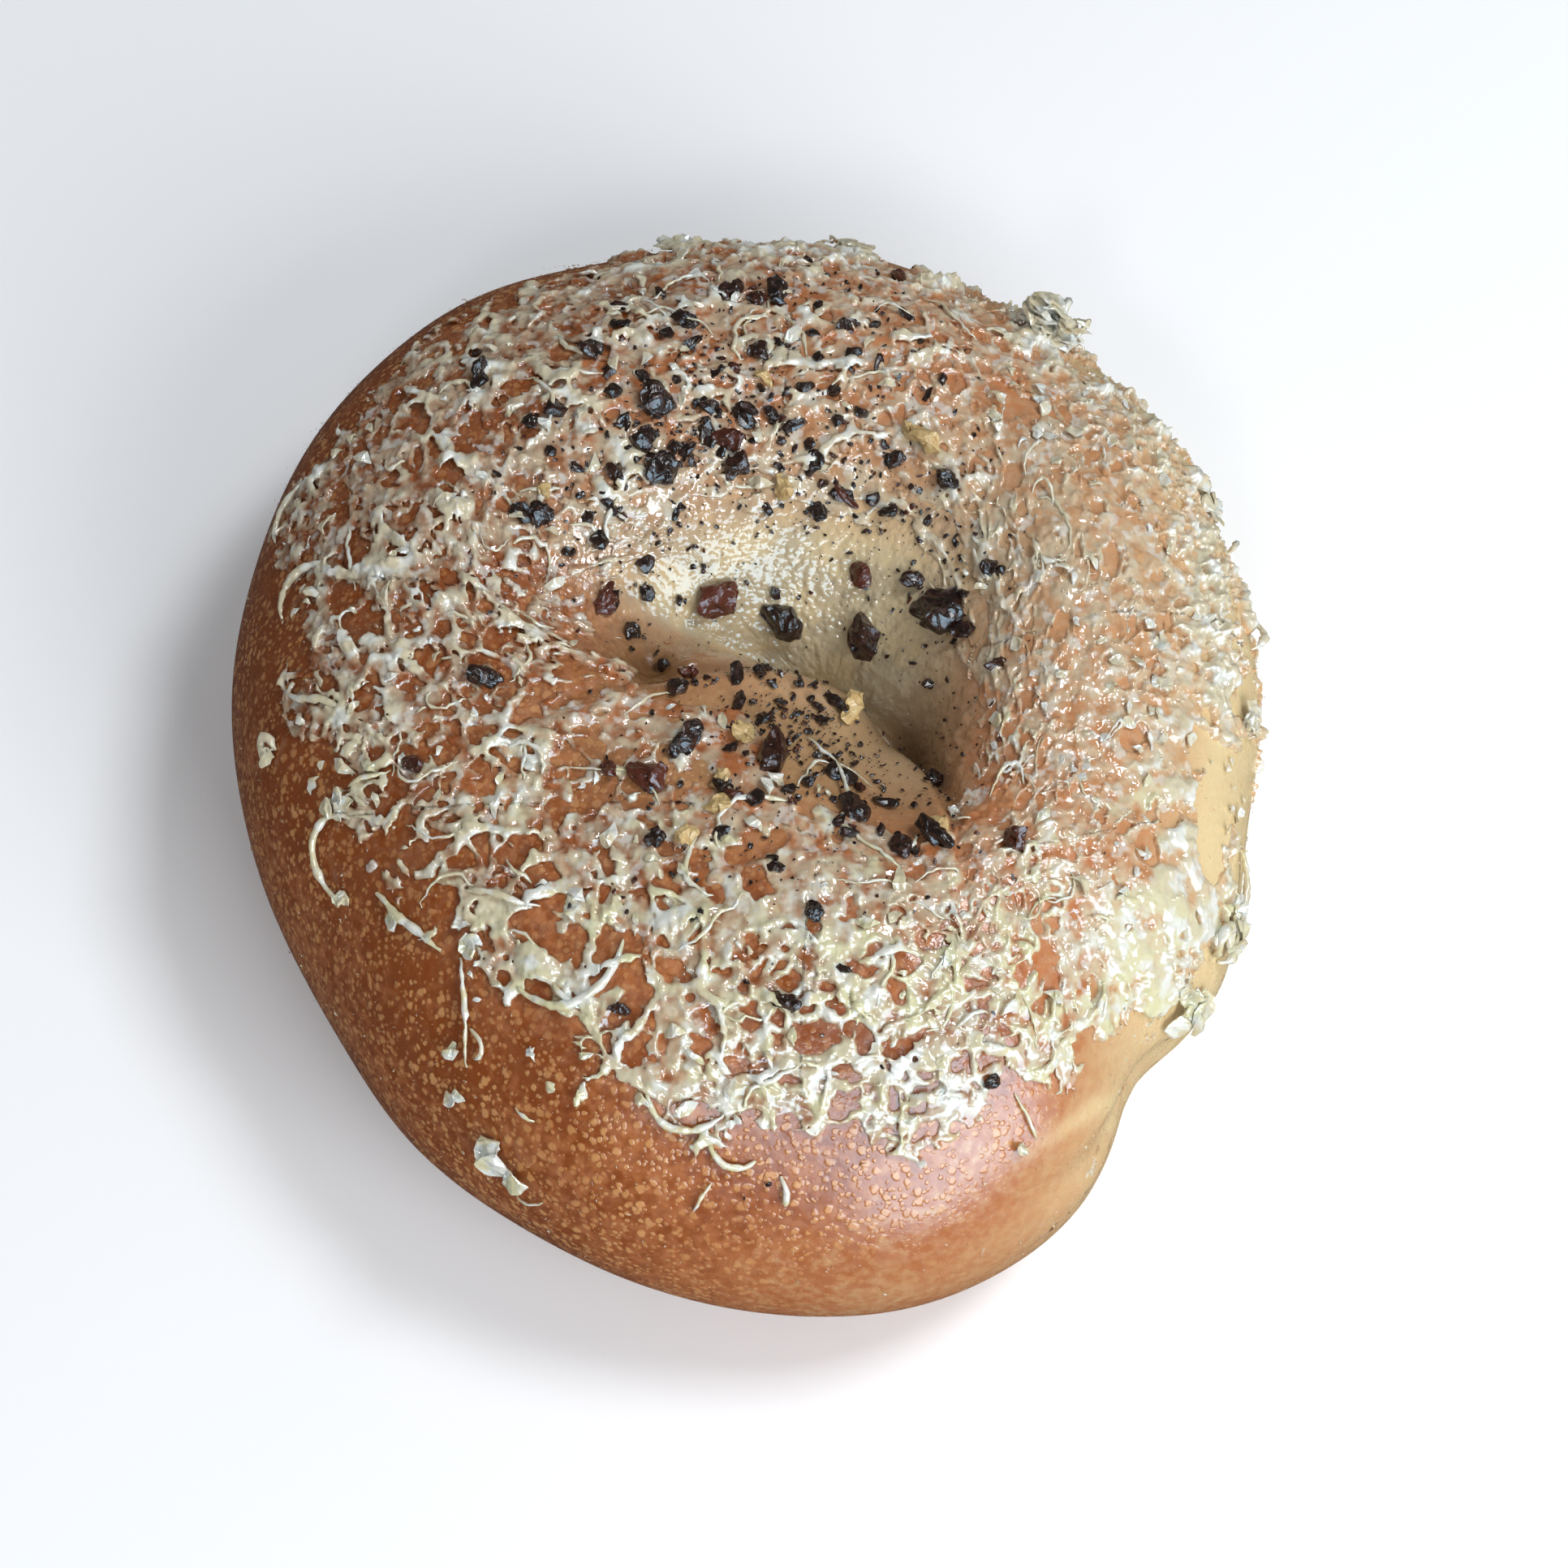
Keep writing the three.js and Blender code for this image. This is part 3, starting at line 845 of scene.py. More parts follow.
def lace_fields(t, given):
    """What the cheese is like at each place: two nets of strands, and the height of the low film."""
    sheet = Sheet(t, given["Seed"])

    # Where the cheese lies: 1 well inside, falling to 0 at its ragged rims. The film goes further in.
    ragged = sheet.patches(6, 0.3, 0.3, 0.7, -0.8, 0.8, 3)
    outer = (sheet.bays(given["Border"], BORDER_BAYS) - sheet.distance) / EDGE_WIDTH

    def within(rows):
        inner = (sheet.distance - sheet.bays(MIDDLE_RADIUS * MM, rows)) / EDGE_WIDTH
        return t.math("MINIMUM", t.math("MINIMUM", outer, inner) + ragged, 1.0)

    lace, film = within(LACE_BAYS), within(FILM_BAYS)

    # Ribbons on the west side, a film full of holes near and far, and a rough, nearly whole film on the
    # east side.
    west = sheet.slope(-1.0, -0.1, 10, 26)
    east = sheet.slope(0.9, 0.15, 12, 26)
    bare = sheet.gaps(GAPS)
    strand = given["Strand"] * (0.7 + west * 0.3) * (1 - east * 0.8) * t.ramp(lace, 0.0, 0.6) * (1 - bare)
    coarse = net(sheet, given["Hole"], strand, given["Arch"], 0.3, 1)
    fine = net(sheet, given["Small Hole"], strand * 0.72, given["Arch"] * 0.6, 0.5 - west * 0.04, 31)

    cover = 0.72 + east * 0.3 + sheet.slope(-0.2, 1.0, 14, 28) * 0.2 - west * 0.4
    shut = east * (0.4 - sheet.slope(0.5, 1.0, 12, 26) * 0.25)
    openness = (0.52 + west * 0.15 - shut) * t.ramp(lace, -1.5, 0.5)
    crest = sheet.slope(0.6, 0.8, 18, 34) * t.ramp(sheet.distance, 37 * MM, 46 * MM)
    level = film_level(sheet, film, cover, openness, 0.16 * MM + crest * (0.3 * MM))
    lumps = sheet.patches(4.5, 27, 0.46, 0.72, 0.0, 1.5 * MM, 3)
    brim = sheet.slope(1.0, -0.35, 36, 50) * sheet.patches(5, 28, 0.42, 0.56)
    level = level + lumps * crest + brim * (0.55 * MM) - bare * (1.8 * MM)
    return sheet, coarse, fine, level


def lace_tree(material):
    """Melted cheese on the flat sheet: ribbons round uneven holes and a film across some of them."""
    t, given = geometry_tree("cheese lace", {
        "Low Corner": (0.0, 0.0, 0.0), "High Corner": (MM, MM, MM), "Columns": 100, "Rows": 100, "Layers": 13,
        "Hole": 6 * MM, "Small Hole": 2.6 * MM, "Strand": 0.4 * MM, "Arch": MM, "Border": 49 * MM,
        "Seed": 3.0, "Simplify": 0.1,
    })
    sheet, coarse, fine, level = lace_fields(t, given)

    # The fields are worked out once for each place of a flat grid, and read again at every height.
    low, high = given["Low Corner"], given["High Corner"]
    low_x, low_y, _ = t.split(low)
    wide, long, _ = t.split(t.vector("SUBTRACT", high, low))
    grid = t.call("GeometryNodeMeshGrid", {
        "Size X": wide, "Size Y": long, "Vertices X": given["Columns"], "Vertices Y": given["Rows"],
    })
    centre = t.vector("MULTIPLY", t.vector("ADD", high, low), (0.5, 0.5, 0.0))
    grid = t.call("GeometryNodeTransform", {"Geometry": grid, "Translation": centre})

    def line(value, start, extent, count):
        """Number of the grid line at a place."""
        return t.math("ROUND", (value - start) / extent * (count - 1.0))

    column = line(sheet.x, low_x, wide, given["Columns"])
    index = column * given["Rows"] + line(sheet.y, low_y, long, given["Rows"])

    def kept(field, kind="FLOAT"):
        made = t.node("GeometryNodeSampleIndex", data_type=kind, domain="POINT")
        t.feed(made.inputs["Geometry"], grid)
        t.feed(next(s for s in made.inputs if s.name == "Value" and s.enabled), field)
        t.feed(made.inputs["Index"], index)
        return Field(t, next(s for s in made.outputs if s.enabled))

    def ribbon(field):
        """Above 0 inside a strand."""
        beside, middle, thick = t.split(kept(field, "FLOAT_VECTOR"))
        over = (sheet.height - middle) / thick
        return 1.0 - (over * over + beside * beside)

    film = (kept(level) - sheet.height) / (0.4 * MM)
    inside = t.math("SMOOTH_MAX", t.math("MAXIMUM", ribbon(coarse), ribbon(fine)), film, 0.3)
    skin = 3.0
    body = t.call("GeometryNodeVolumeCube", {
        "Density": t.math("MAXIMUM", inside, -2.0) + skin, "Min": low, "Max": high,
        "Resolution X": given["Columns"], "Resolution Y": given["Rows"], "Resolution Z": given["Layers"],
    })
    mesh = t.call("GeometryNodeVolumeToMesh", {
        "Volume": body, "Threshold": skin, "Adaptivity": given["Simplify"],
    })
    return end_tree(t, mesh, material)


class BAGEL_OT_melt_cheese(Operator):
    """Lay the lace of melted cheese on the dough, tile by tile"""

    bl_idname = "bagel.melt_cheese"
    bl_label = "Melt Cheese"

    def execute(self, context):
        dough = Dough(context.scene.bagel_form)
        toppings = context.scene.bagel_toppings
        tree = lace_tree(cheese_material())
        grain = toppings.voxel / MM
        for across, (west, east) in TILES_ACROSS.items():
            for along, (near, far) in TILES_ALONG.items():
                name = f"lace_{along}_{across}"
                mesh = grown(name, tree, {
                    "Low Corner": ((west - grain) * MM, (near - grain) * MM, LACE_LOW * MM),
                    "High Corner": ((east + grain) * MM, (far + grain) * MM, LACE_HIGH * MM),
                    "Columns": round((east - west) / grain) + 3, "Rows": round((far - near) / grain) + 3,
                    "Layers": round((LACE_HIGH - LACE_LOW) / grain) + 1,
                    "Hole": toppings.hole, "Strand": toppings.strand, "Arch": toppings.arch,
                    "Border": toppings.border,
                })
                sheet_to_crust(mesh, dough)
                finish_piece(name, mesh)
        return {"FINISHED"}


# ------------------------------------------------------------------ cracked pepper

# The most prominent pieces on the flat sheet: bearing in degrees, distance and size in millimetres, and
# how brown they are.
CORNS = (
    (32, 11.0, 5.0, 0.1), (54, 3.2, 4.0, 0.2), (94, 2.6, 3.6, 0.1), (117, 5.0, 3.6, 1.0),
    (-109, 16.1, 4.4, 0.3), (-126, 22.5, 4.6, 0.9), (23, 12.8, 2.6, 0.1), (-60, 18.6, 3.4, 0.0),
    (-43, 27.1, 3.0, 0.7), (-70, 44.0, 2.0, 0.0), (113, 25.3, 3.4, 0.1), (100, 17.1, 3.4, 0.2),
    (115, 18.6, 3.0, 0.0), (117, 22.2, 2.8, 0.1), (106, 33.4, 2.2, 0.0), (99, 36.8, 2.4, 0.2),
    (95, 35.6, 2.8, 0.4), (92, 36.3, 2.4, 0.0), (95, 29.0, 2.6, 0.2), (101, 20.0, 3.2, 0.7),
    (-165, 25.8, 2.6, 0.1), (-154, 35.9, 2.2, 0.6), (137, 36.0, 3.0, 0.0), (135, 28.5, 2.6, 0.0),
    (121, 32.5, 2.6, 0.2), (120, 27.8, 2.0, 0.0), (124, 19.8, 2.4, 0.2), (143, 21.1, 2.2, 0.1),
    (51, 20.7, 2.6, 0.0), (65, 19.5, 2.4, 0.2), (62, 14.4, 2.0, 0.0), (83, 16.9, 2.4, 0.1),
    (64, 7.7, 2.8, 0.9), (47, 10.1, 2.2, 0.2), (30, 18.6, 2.4, 0.1), (150, 10.2, 2.2, 0.9),
    (-126, 18.8, 3.4, 0.1), (-114, 20.2, 2.0, 0.0), (-86, 15.6, 2.4, 0.1), (-71, 18.7, 2.0, 0.2),
    (-89, 26.5, 2.0, 0.0), (-92, 34.2, 2.4, 0.2), (-111, 38.5, 2.0, 0.3), (-118, 25.9, 2.4, 0.1),
    (-133, 23.7, 2.2, 0.8), (-43, 7.5, 2.0, 0.1), (-141, 12.6, 2.0, 0.9), (168, 7.4, 2.2, 0.2),
)
HEARTS = (
    (-118, 15.8, 2.4), (-115, 20.0, 1.8), (-112, 21.7, 2.2), (-114, 24.7, 1.8), (-101, 6.5, 2.8),
    (94, 26.2, 2.0), (139, 22.3, 2.2), (61, 22.9, 3.4), (89, 14.7, 2.8), (-57, 17.7, 2.6),
)
# Where small bits and dust lie thickest: x, y, reach in millimetres and share of all.
PEPPER_HEAPS = (
    (-6, 21, 5, 0.1), (-8, 22, 12, 0.3), (6, 14, 11, 0.18), (-3, -10, 4.5, 0.15), (-5, -15, 9, 0.1),
    (2, 34, 12, 0.1), (2, 0, 12, 0.08), (0, -24, 16, 0.04),
)


def sprinkled(count, small, large, rng):
    """Random pepper bits: rows of x, y, size and how brown they are."""
    shares = np.array([heap[3] for heap in PEPPER_HEAPS])
    heap = np.array(PEPPER_HEAPS)[rng.choice(len(shares), count, p=shares / shares.sum())]
    spot = heap[:, :2] + heap[:, 2:3] * rng.normal(0, 0.6, (count, 2))
    width = small + (large - small) * rng.random(count) ** 2.5
    brown = np.where(rng.random(count) < 0.25, 0.8, 0.1) * rng.random(count)
    return np.column_stack([spot, width, brown])


def polar_rows(rows):
    """Rows of bearing, distance and more, as x, y and more."""
    table = np.array(rows, float)
    return np.column_stack([*round_dimple(table[:, 1], np.radians(table[:, 0])), table[:, 2:]])


def seed_points(name, rows, sunk, dough):
    """Points on the crust with the size and tone of what sits on them, and the way up there."""
    mesh = bpy.data.meshes.new(name)
    width = rows[:, 2]
    sheet = np.column_stack([rows[:, :2], width * (0.5 - sunk) * 0.7 + 0.25])
    foot = dough.laid_on(np.column_stack([rows[:, :2], 0 * width]))
    places = dough.laid_on(sheet)
    mesh.from_pydata(placed(places, dough).tolist(), [], [])
    keep_values(mesh, "size", width * MM)
    keep_values(mesh, "tone", rows[:, 3] if rows.shape[1] > 3 else np.full(len(rows), 0.6))
    up = mesh.attributes.new("up", "FLOAT_VECTOR", "POINT")
    up.data.foreach_set("vector", ((places - foot) / sheet[:, 2:]).astype(np.float32).ravel())
    return mesh


def set_down(t, source, shape, seed, tilt, spread=0.0):
    """The shape on each point of the source, at the point's size, upright there but turned and tilted.

    Its three sides differ from the size by up to the spread."""
    width = t.read("size")
    points = t.call("GeometryNodeMeshToPoints", {"Mesh": source})
    spin = t.call("FunctionNodeRandomValue", {
        0: (-tilt, -tilt, 0.0), 1: (tilt, tilt, 2 * math.pi), "Seed": seed,
    }, data_type="FLOAT_VECTOR")
    upright = t.call("FunctionNodeAlignRotationToVector", {"Vector": t.read("up", "FLOAT_VECTOR")}, axis="Z")
    turned = t.call("FunctionNodeRotateRotation", {
        "Rotation": upright, "Rotate By": t.call("FunctionNodeEulerToRotation", {0: spin}),
    }, rotation_space="LOCAL")
    sides = t.call("FunctionNodeRandomValue", {
        0: (1 - spread,) * 3, 1: (1 + spread,) * 3, "Seed": seed + 7,
    }, data_type="FLOAT_VECTOR")
    laid = t.call("GeometryNodeInstanceOnPoints", {
        "Points": points, "Instance": shape, "Rotation": turned,
        "Scale": t.vector("MULTIPLY", t.join(width, width, width), sides),
    })
    return t.call("GeometryNodeRealizeInstances", {"Geometry": laid}), width


def chip_tree(material, name, detail):
    """A dented chip on each point, turned at random."""
    t, given = geometry_tree(name, {"Seed": 4, "Dent": 0.45, "Flatness": 0.62, "Breadth": 0.82}, source=True)
    chip = t.call("GeometryNodeMeshIcoSphere", {"Radius": 0.5, "Subdivisions": detail})
    chip = t.call("GeometryNodeTransform", {
        "Geometry": chip, "Scale": t.join(1.0, given["Breadth"], given["Flatness"]),
    })
    real, width = set_down(t, given["Source"], chip, given["Seed"], 0.6, 0.38)
    place = t.call("GeometryNodeInputPosition", {})

    def dents(grain, depth, seed):
        deep = width * (given["Dent"] * depth)
        return t.vector("MULTIPLY", t.push(place, width * grain, seed, 1), t.join(deep, deep, deep))

    both = t.vector("ADD", dents(0.55, 1.3, 3), dents(0.2, 0.32, 4))
    return end_tree(t, t.call("GeometryNodeSetPosition", {"Geometry": real, "Offset": both}), material)


class BAGEL_OT_crack_pepper(Operator):
    """Scatter the cracked pepper over the top"""

    bl_idname = "bagel.crack_pepper"
    bl_label = "Crack Pepper"

    def execute(self, context):
        dough = Dough(context.scene.bagel_form)
        toppings, colours = context.scene.bagel_toppings, context.scene.bagel_colours
        rng = np.random.default_rng(8)
        husk = pepper_material("pepper", colours.pepper_red, colours.pepper, 0.26)
        heart = pepper_material("pepper heart", colours.pepper_heart, colours.pepper_rind, 0.55)
        bits = sprinkled(toppings.pepper_bits, 0.6, 2.3, rng)
        dust = sprinkled(toppings.pepper_dust, 0.2, 0.7, rng)
        # Name, rows, share sunk in the crust, subdivisions, dent, flatness, breadth, material and slot.
        batches = (
            ("pepper_corns", polar_rows(CORNS), 0.28, 4, 0.6, 0.6, 0.82, husk, "pepper"),
            ("pepper_bits", bits, 0.32, 2, 0.6, 0.42, 0.6, husk, "pepper"),
            ("pepper_dust", dust, 0.34, 1, 0.6, 0.4, 0.6, husk, "pepper"),
            ("pepper_hearts", polar_rows(HEARTS), 0.2, 3, 0.8, 0.6, 0.82, heart, "pepper_heart"),
        )
        for name, rows, sunk, detail, dent, flat, broad, material, slot in batches:
            tree = chip_tree(material, name, detail)
            shape = {"Dent": dent, "Flatness": flat, "Breadth": broad}
            mesh = grown(name, tree, shape, seed_points(name, rows, sunk, dough))
            finish_piece(name, mesh, smooth=False)
        return {"FINISHED"}


# ------------------------------------------------------------------ shreds and threads

# Single curls and strands at the rim of the cheese: bearing, distance, heading in degrees, length,
# turn in degrees, thickness and lift, in millimetres.
STRANDS = (
    (-166, 49.5, 60, 4, 300, 0.35, 0.9), (-146, 48.9, 166, 12, -210, 0.32, 0.9),
    (-144, 45.4, 337, 8.4, -13, 0.36, 0.4), (-131, 42.5, 279, 9, 0, 0.2, 0.7),
    (-124, 49.0, 348, 4, 150, 0.2, 0.6), (-125, 40.8, 284, 13, 140, 0.3, 0.6),
    (-120, 39.3, 293, 3, 40, 0.28, 0.5), (-136, 39.1, 350, 7, 10, 0.22, 0.9),
    (-118, 50.2, 333, 2, 10, 0.14, 0.3), (-116, 60.4, 326, 3.4, 34, 0.12, 0.3),
    (-98, 50.0, 221, 3.3, 18, 0.16, 0.4), (-106, 43.3, 283, 8, 116, 0.28, 0.6),
    (-99, 45.9, 281, 5, 140, 0.28, 0.5), (-92, 48.7, 295, 3, 0, 0.26, 0.4),
    (-68, 45.6, 292, 5.5, 0, 0.14, 0.4), (178, 48.1, 81, 10, -108, 0.3, 0.8),
    (-172, 46.9, 338, 8, 44, 0.3, 0.7), (158, 49.6, 200, 8, 80, 0.24, 0.6),
    (-22, 57.7, 273, 11, -29, 0.3, 0.8), (-37, 58.7, 5, 6, 36, 0.36, 1.0),
    (-35, 58.0, 70, 8, 260, 0.45, 1.5), (5, 57.5, 60, 5, 90, 0.4, 1.4), (18, 56.5, 100, 5, -60, 0.3, 1.2),
    (54, 46.2, 60, 2, 20, 0.32, 4.6), (51, 46.4, 20, 2, 30, 0.3, 4.2),
)
# Heaps of flakes: bearing, distance and spread on the sheet, number, size, and how high they stand.
FLAKES = (
    (56, 45.8, 1.6, 34, 3.2, 4.6), (52, 46.4, 1.4, 20, 2.8, 4.0), (-119, 56.2, 0.9, 4, 3.4, 0.2),
    (-116, 57.8, 0.8, 3, 3.8, 0.2), (-166, 50.5, 0.7, 4, 1.9, 0.3), (-42, 59.5, 2.4, 12, 3.0, 0.4),
    (-6, 55.0, 2.2, 12, 2.4, 0.4), (-31, 58.5, 1.4, 10, 2.2, 0.4), (84, 50.0, 2.2, 10, 2.2, 0.6),
    (105, 51.3, 2.0, 10, 2.4, 0.6), (-124, 53.4, 0.8, 3, 1.8, 0.2), (24, 53.0, 3.0, 12, 2.2, 0.5),
    (-130, 41.2, 0.6, 3, 2.2, 0.3), (-126, 49.4, 0.5, 3, 1.8, 0.2), (-115, 46.6, 0.2, 1, 1.2, 0.1),
    (-146, 48.6, 0.4, 3, 1.6, 0.3), (-33, 60.0, 1.4, 8, 3.0, 0.6), (-155, 44.0, 1.2, 5, 2.4, 0.3),
    (-69, 51.0, 0.2, 2, 1.6, 0.2), (-5, 32.0, 14.0, 36, 1.5, 0.1), (40, 36.0, 13.0, 26, 1.5, 0.1),
    (-139.5, 44.8, 0.6, 3, 1.8, 0.2), (-16, 53.0, 6.0, 9, 0.9, 0.05),
)
# Loose shreds and threads lie between these distances from the dimple, the outer one counted from the border.
# On the east side, whose film is nearly whole, only a share of them is left.
SHREDS_WITHIN, THREADS_WITHIN = (15, -2), (16, -9)
SHREDS_EAST, THREADS_EAST = 0.5, 0.2
EAST_X, EAST_Y = 4, -22


def rim_points(count, inner, outer, rng):
    """Random places on the flat sheet between two distances from the dimple."""
    distance = np.sqrt(inner**2 + (outer**2 - inner**2) * rng.random(count))
    return np.column_stack(round_dimple(distance, rng.random(count) * 2 * math.pi))


def shred_tree(material, name):
    """A ragged sliver of grated cheese on each point, tapered to both ends and curled."""
    t, given = geometry_tree(name, {
        "Seed": 9, "Curl": 1.1, "Width": 0.42, "Crinkle": 1.1 * MM, "Sway": 1.5 * MM,
    }, source=True)
    sliver = t.call("GeometryNodeMeshCube", {
        "Size": (1.0, 1.0, 0.1), "Vertices X": 6, "Vertices Y": 3, "Vertices Z": 2,
    })
    place = t.call("GeometryNodeInputPosition", {})
    x, y, z = t.split(place)
    out = x * x
    wide = given["Width"] * (1.05 - out * 4.0)
    tapered = t.join(x, y * wide, z - out * given["Curl"])
    sliver = t.call("GeometryNodeSetPosition", {"Geometry": sliver, "Position": tapered})
    real, _ = set_down(t, given["Source"], sliver, given["Seed"], 0.5)
    sway = t.join(given["Sway"], given["Sway"], given["Sway"])
    bend = t.vector("MULTIPLY", t.push(place, given["Crinkle"], 5), sway)
    return end_tree(t, t.call("GeometryNodeSetPosition", {"Geometry": real, "Offset": bend}), material)


def strand_line(x, y, heading, length, turn, thick, lift, rng, wobble=0.25):
    """Points of one strand on the flat sheet, its ends lying on the crust."""
    steps = 12 + round(length)
    share = np.linspace(0, 1, steps)
    bearing = heading + turn * share
    hop = length / (steps - 1)
    bearing = bearing + np.cumsum(rng.normal(0, wobble, steps))
    path = np.cumsum(np.column_stack([np.cos(bearing), np.sin(bearing)]) * hop, axis=0)
    path += np.array([x, y]) + rng.normal(0, wobble, (steps, 2)) * hop
    height = lift * np.sin(math.pi * share) ** 0.6 + 0.1
    radius = thick * (0.45 + 0.8 * np.sin(math.pi * share)) * rng.uniform(0.55, 1.45, steps)
    return np.column_stack([path, height]), radius


def thread_mesh(lines):
    """Loose lines of points as one mesh of edges, with their thickness."""
    points, radii, edges = [], [], []
    for path, radius in lines:
        start = sum(len(p) for p in points)
        edges += [(start + i, start + i + 1) for i in range(len(path) - 1)]
        points.append(path)
        radii.append(radius)
    mesh = bpy.data.meshes.new("thread lines")
    mesh.from_pydata((np.concatenate(points) * MM).tolist(), edges, [])
    keep_values(mesh, "thick", np.concatenate(radii) * MM)
    return mesh


def thread_tree(material):
    """A round, uneven thread along each line."""
    t, given = geometry_tree("cheese threads", {"Sides": 6, "Stretch": 0.5 * MM}, source=True)
    line = t.call("GeometryNodeMeshToCurve", {"Mesh": given["Source"]})
    smooth = t.call("GeometryNodeResampleCurve", {"Curve": line, "Length": given["Stretch"]}, mode="LENGTH")
    ring = t.call("GeometryNodeCurvePrimitiveCircle", {"Resolution": given["Sides"], "Radius": 1.0})
    swept = t.call("GeometryNodeCurveToMesh", {
        "Curve": smooth, "Profile Curve": ring, "Scale": t.read("thick"), "Fill Caps": True,
    })
    return end_tree(t, swept, material)


def flake_rows(rng):
    """The heaps of flakes: rows of x, y, size and height."""
    heaps = []
    for x, y, spread, count, large, high in polar_rows(FLAKES):
        count = int(count)
        heaps.append(np.column_stack([
            (x, y) + spread * rng.normal(0, 0.5, (count, 2)), large * rng.uniform(0.5, 1.1, count),
            high * rng.random(count),
        ]))
    return np.concatenate(heaps)


def thread_lines(count, border, rng):
    """Random fine threads, then the single strands."""
    lines = []
    inner, short = THREADS_WITHIN
    for x, y in rim_points(count, inner, border + short, rng):
        if x < EAST_X or y < EAST_Y or rng.random() < THREADS_EAST:
            lines.append(strand_line(
                x, y, rng.random() * 2 * math.pi, rng.uniform(3, 9), rng.normal(0, 1.2),
                rng.uniform(0.09, 0.2), rng.uniform(0.2, 1.0), rng,
            ))
    rng = np.random.default_rng(22)
    for bearing, distance, heading, length, turn, thick, lift in STRANDS:
        x, y = round_dimple(distance, math.radians(bearing))
        lines.append(strand_line(
            x, y, math.radians(heading), length, math.radians(turn), thick, lift, rng, 0.09,
        ))
    return lines


class BAGEL_OT_grate_cheese(Operator):
    """Scatter the loose shreds, threads and curls of cheese"""

    bl_idname = "bagel.grate_cheese"
    bl_label = "Grate Cheese"

    def execute(self, context):
        dough = Dough(context.scene.bagel_form)
        toppings = context.scene.bagel_toppings
        border = toppings.border / MM
        rng = np.random.default_rng(21)
        material = cheese_material("cheese shreds", -0.6, 0.2)
        inner, short = SHREDS_WITHIN
        spots = rim_points(toppings.shreds, inner, border + short, rng)
        east = (spots[:, 0] > EAST_X) & (spots[:, 1] > EAST_Y)
        spots = spots[~east | (rng.random(len(spots)) < SHREDS_EAST)]
        large = 0.9 + 1.8 * rng.random(len(spots)) ** 2
        batches = (
            ("grated_shreds", np.column_stack([spots, large, 0 * large]), {}),
            ("torn_flakes", flake_rows(rng), {"Curl": 0.35, "Width": 0.8, "Sway": 1.9 * MM}),
        )
        for name, rows, shape in batches:
            source = seed_points(name, rows[:, :3], 0.1 - rows[:, 3] / rows[:, 2], dough)
            mesh = grown(name, shred_tree(material, name), shape, source)
            keep_values(mesh, "lift", np.full(len(mesh.vertices), 0.8))
            finish_piece(name, mesh, smooth=False)

        lines = thread_mesh(thread_lines(toppings.threads, border, rng))
        mesh = grown("cheese threads", thread_tree(material), {}, lines)
        sheet_to_crust(mesh, dough)
        finish_piece("cheese_threads", mesh)
        return {"FINISHED"}


# ------------------------------------------------------------------ stage

# What the camera and the lights aim at, in millimetres round the dimple.
TARGET = (-1.5, -10.3, 20)
# Elevation in degrees, distance, sensor and lens in millimetres, and near and far limits in metres.
CAMERA = {"elevation": 63, "distance": 330, "sensor": 36, "lens": 77.5, "near": 0.01, "far": 20}
FLOOR = {"reach": 4.0, "grey": 0.92, "roughness": 0.9}
# Name, width in metres, watts, bearing and height in degrees, distance in metres, colour, whether it
# lights the bagel, and whether it shows as a gloss.
LIGHTS = (
    ("window", 0.44, 4.1, 38, 29, 0.75, (0.97, 0.98, 1.0), True, False),
    ("pane", 0.7, 12.0, 32, 25, 0.74, (0.55, 0.8, 1.0), False, True),
    ("sky window", 0.2, 2.9, 100, 62, 0.8, (0.9, 0.95, 1.0), True, True),
    ("small window", 0.12, 0.8, -10, 46, 0.8, (0.95, 0.97, 1.0), True, True),
)
# The room lights the bagel evenly from all round, but what mirrors in the glaze is mostly the windows.
ROOM = {"colour": (0.93, 0.96, 1.0), "light": 0.33, "gloss": 0.05}


def lay_floor():
    reach, grey = FLOOR["reach"], FLOOR["grey"]
    mesh = bpy.data.meshes.new("floor")
    corners = [(-reach, -reach, 0), (reach, -reach, 0), (reach, reach, 0), (-reach, reach, 0)]
    mesh.from_pydata(corners, [], [(0, 1, 2, 3)])
    material = bpy.data.materials.new("floor")
    material.use_nodes = True
    shader = material.node_tree.nodes["Principled BSDF"]
    shader.inputs["Base Color"].default_value = (grey, grey, grey, 1)
    shader.inputs["Roughness"].default_value = FLOOR["roughness"]
    mesh.materials.append(material)
    floor = put_in_scene("floor", mesh)
    floor.visible_glossy = False


def fill_room():
    world = bpy.data.worlds.new("room")
    world.use_nodes = True
    t = Tree(world.node_tree)
    sky = world.node_tree.nodes["Background"]
    sky.inputs["Color"].default_value = (*ROOM["colour"], 1)
    glossy = t.call("ShaderNodeLightPath", {}, "Is Glossy Ray")
    t.feed(sky.inputs["Strength"], t.ramp(glossy, 0.0, 1.0, ROOM["light"], ROOM["gloss"]))
    bpy.context.scene.world = world


def soft_light(name, width, watts, bearing, height, distance, colour, lights, gloss, target):
    """A square soft light aimed at the target. It may only light, or only show as a gloss."""
    lamp = bpy.data.lights.new(name, "AREA")
    lamp.size, lamp.energy, lamp.color = width, watts, colour
    light = put_in_scene(name, lamp)
    a, e = math.radians(bearing), math.radians(height)
    away = Vector((math.sin(a) * math.cos(e), -math.cos(a) * math.cos(e), math.sin(e)))
    light.location = target + away * distance
    light.rotation_euler = away.to_track_quat("Z", "Y").to_euler()
    light.visible_diffuse, light.visible_glossy = lights, gloss


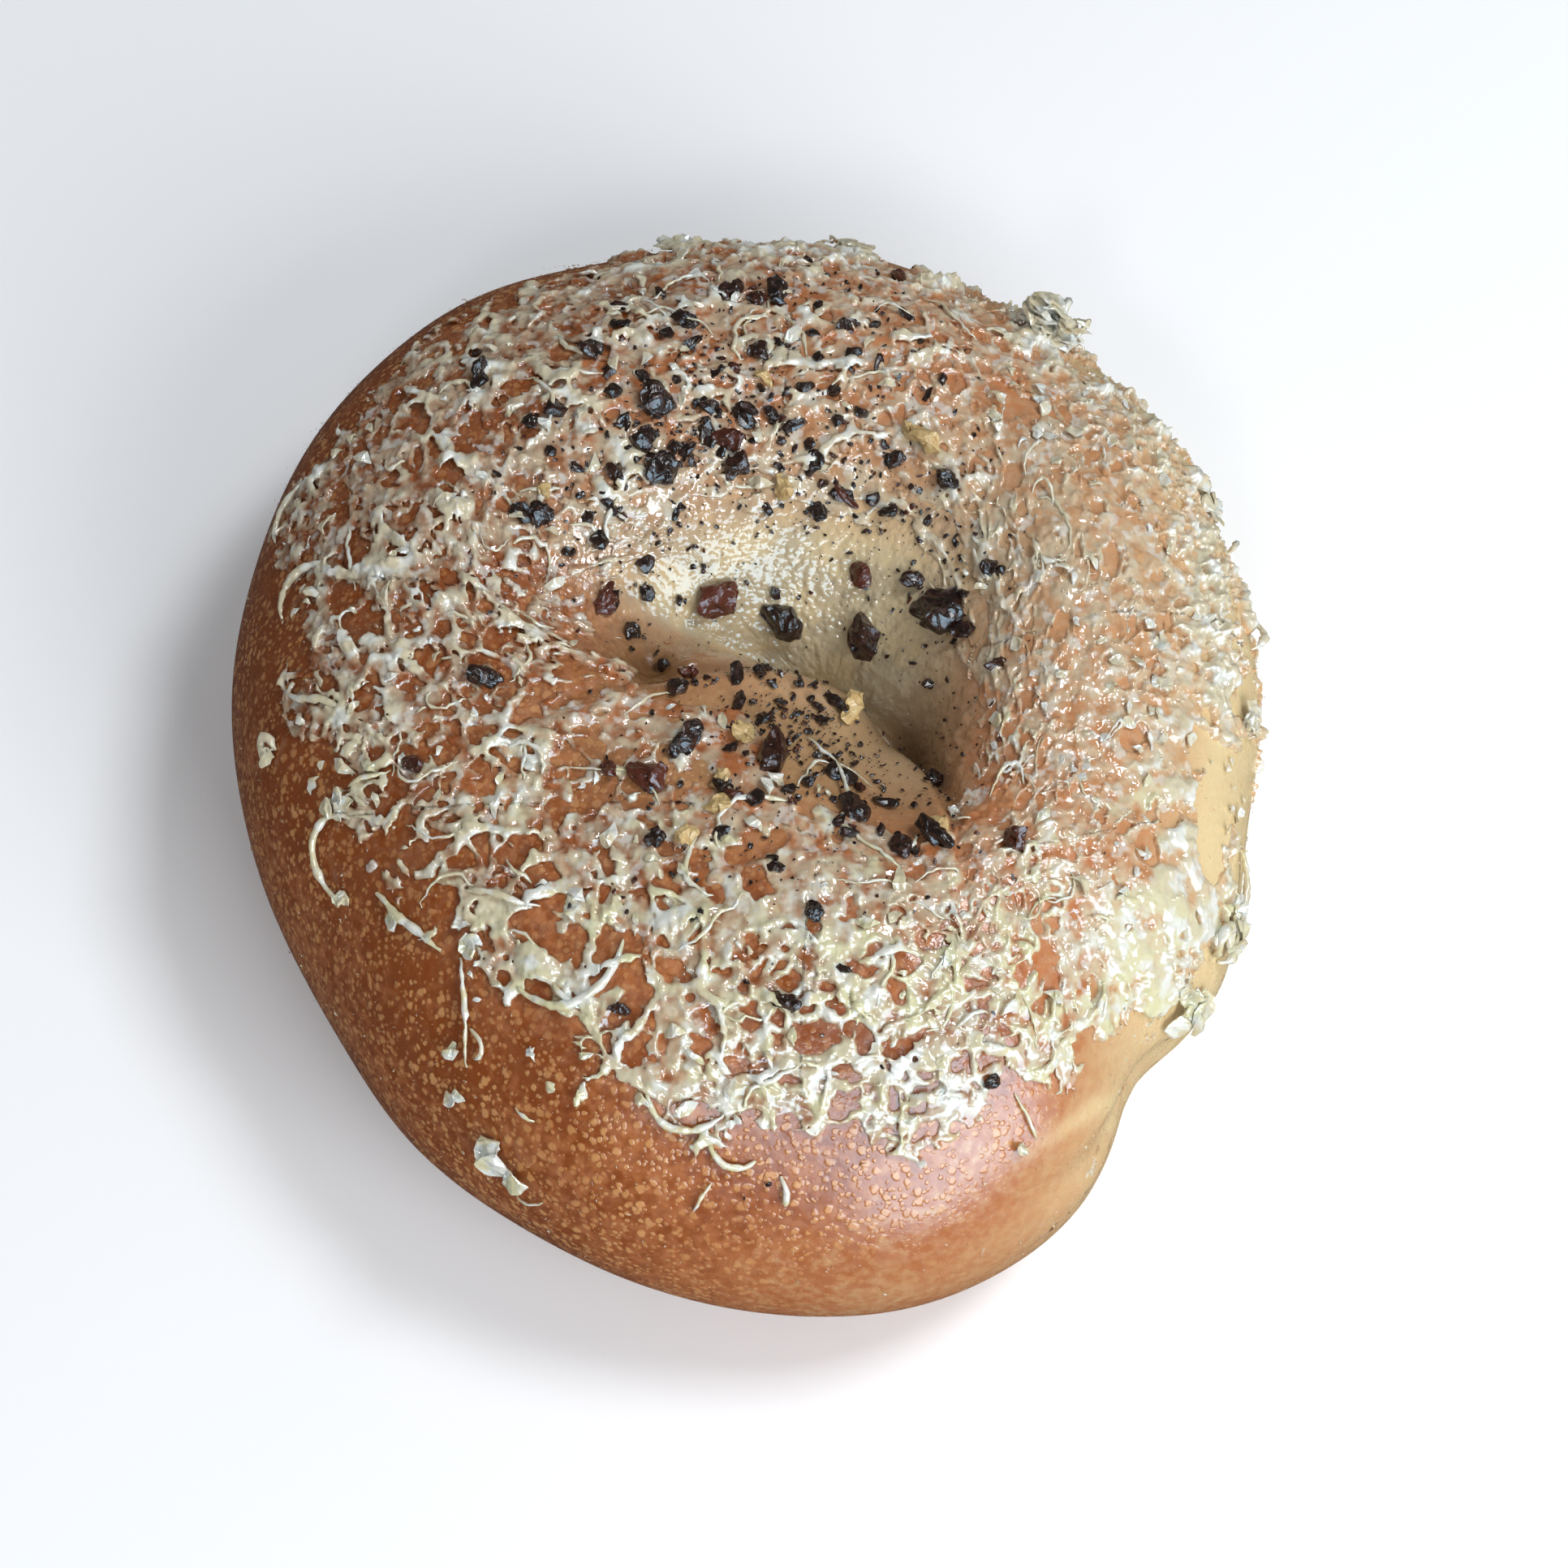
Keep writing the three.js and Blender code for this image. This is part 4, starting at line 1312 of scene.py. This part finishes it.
def set_camera(target):
    lens = bpy.data.cameras.new("camera")
    lens.sensor_width, lens.lens = CAMERA["sensor"], CAMERA["lens"]
    lens.clip_start, lens.clip_end = CAMERA["near"], CAMERA["far"]
    camera = put_in_scene("camera", lens)
    elevation = math.radians(CAMERA["elevation"])
    away = Vector((0, -math.cos(elevation), math.sin(elevation)))
    camera.location = target + away * (CAMERA["distance"] * MM)
    camera.rotation_euler = (math.pi / 2 - elevation, 0, 0)
    bpy.context.scene.camera = camera


class BAGEL_OT_set_stage(Operator):
    """Add the floor, the lights and the camera"""

    bl_idname = "bagel.set_stage"
    bl_label = "Set Stage"

    def execute(self, context):
        context.scene.view_settings.view_transform = "Standard"
        lay_floor()
        fill_room()
        shift = Vector(origin_shift(Dough(context.scene.bagel_form)) * MM)
        target = Vector([value * MM for value in TARGET]) + shift
        for row in LIGHTS:
            soft_light(*row, target)
        set_camera(target)
        return {"FINISHED"}


# ------------------------------------------------------------------ add-on


class BAGEL_PT_parts(Panel):
    """Lists the steps of making the bagel"""

    bl_label = "Bagel"
    bl_idname = "BAGEL_PT_parts"
    bl_space_type = "VIEW_3D"
    bl_region_type = "UI"
    bl_category = "Bagel"

    def draw(self, context):
        for step in STEPS:
            self.layout.operator(step.bl_idname)
        for name in GROUPS:
            group = getattr(context.scene, name)
            box = self.layout.box()
            for value in group.__annotations__:
                box.prop(group, value)


GROUPS = {"bagel_form": BagelForm, "bagel_toppings": BagelToppings, "bagel_colours": BagelColours}
STEPS = (
    BAGEL_OT_bake_dough,
    BAGEL_OT_melt_cheese,
    BAGEL_OT_grate_cheese,
    BAGEL_OT_crack_pepper,
    BAGEL_OT_set_stage,
)
CLASSES = (*GROUPS.values(), *STEPS, BAGEL_PT_parts)


def register():
    for item in CLASSES:
        bpy.utils.register_class(item)
    for name, group in GROUPS.items():
        setattr(bpy.types.Scene, name, PointerProperty(type=group))


def unregister():
    for name in GROUPS:
        delattr(bpy.types.Scene, name)
    for item in reversed(CLASSES):
        bpy.utils.unregister_class(item)


def main():
    register()
    bpy.ops.bagel.bake_dough()
    bpy.ops.bagel.melt_cheese()
    bpy.ops.bagel.grate_cheese()
    bpy.ops.bagel.crack_pepper()
    bpy.ops.bagel.set_stage()


if __name__ == "__main__":
    main()
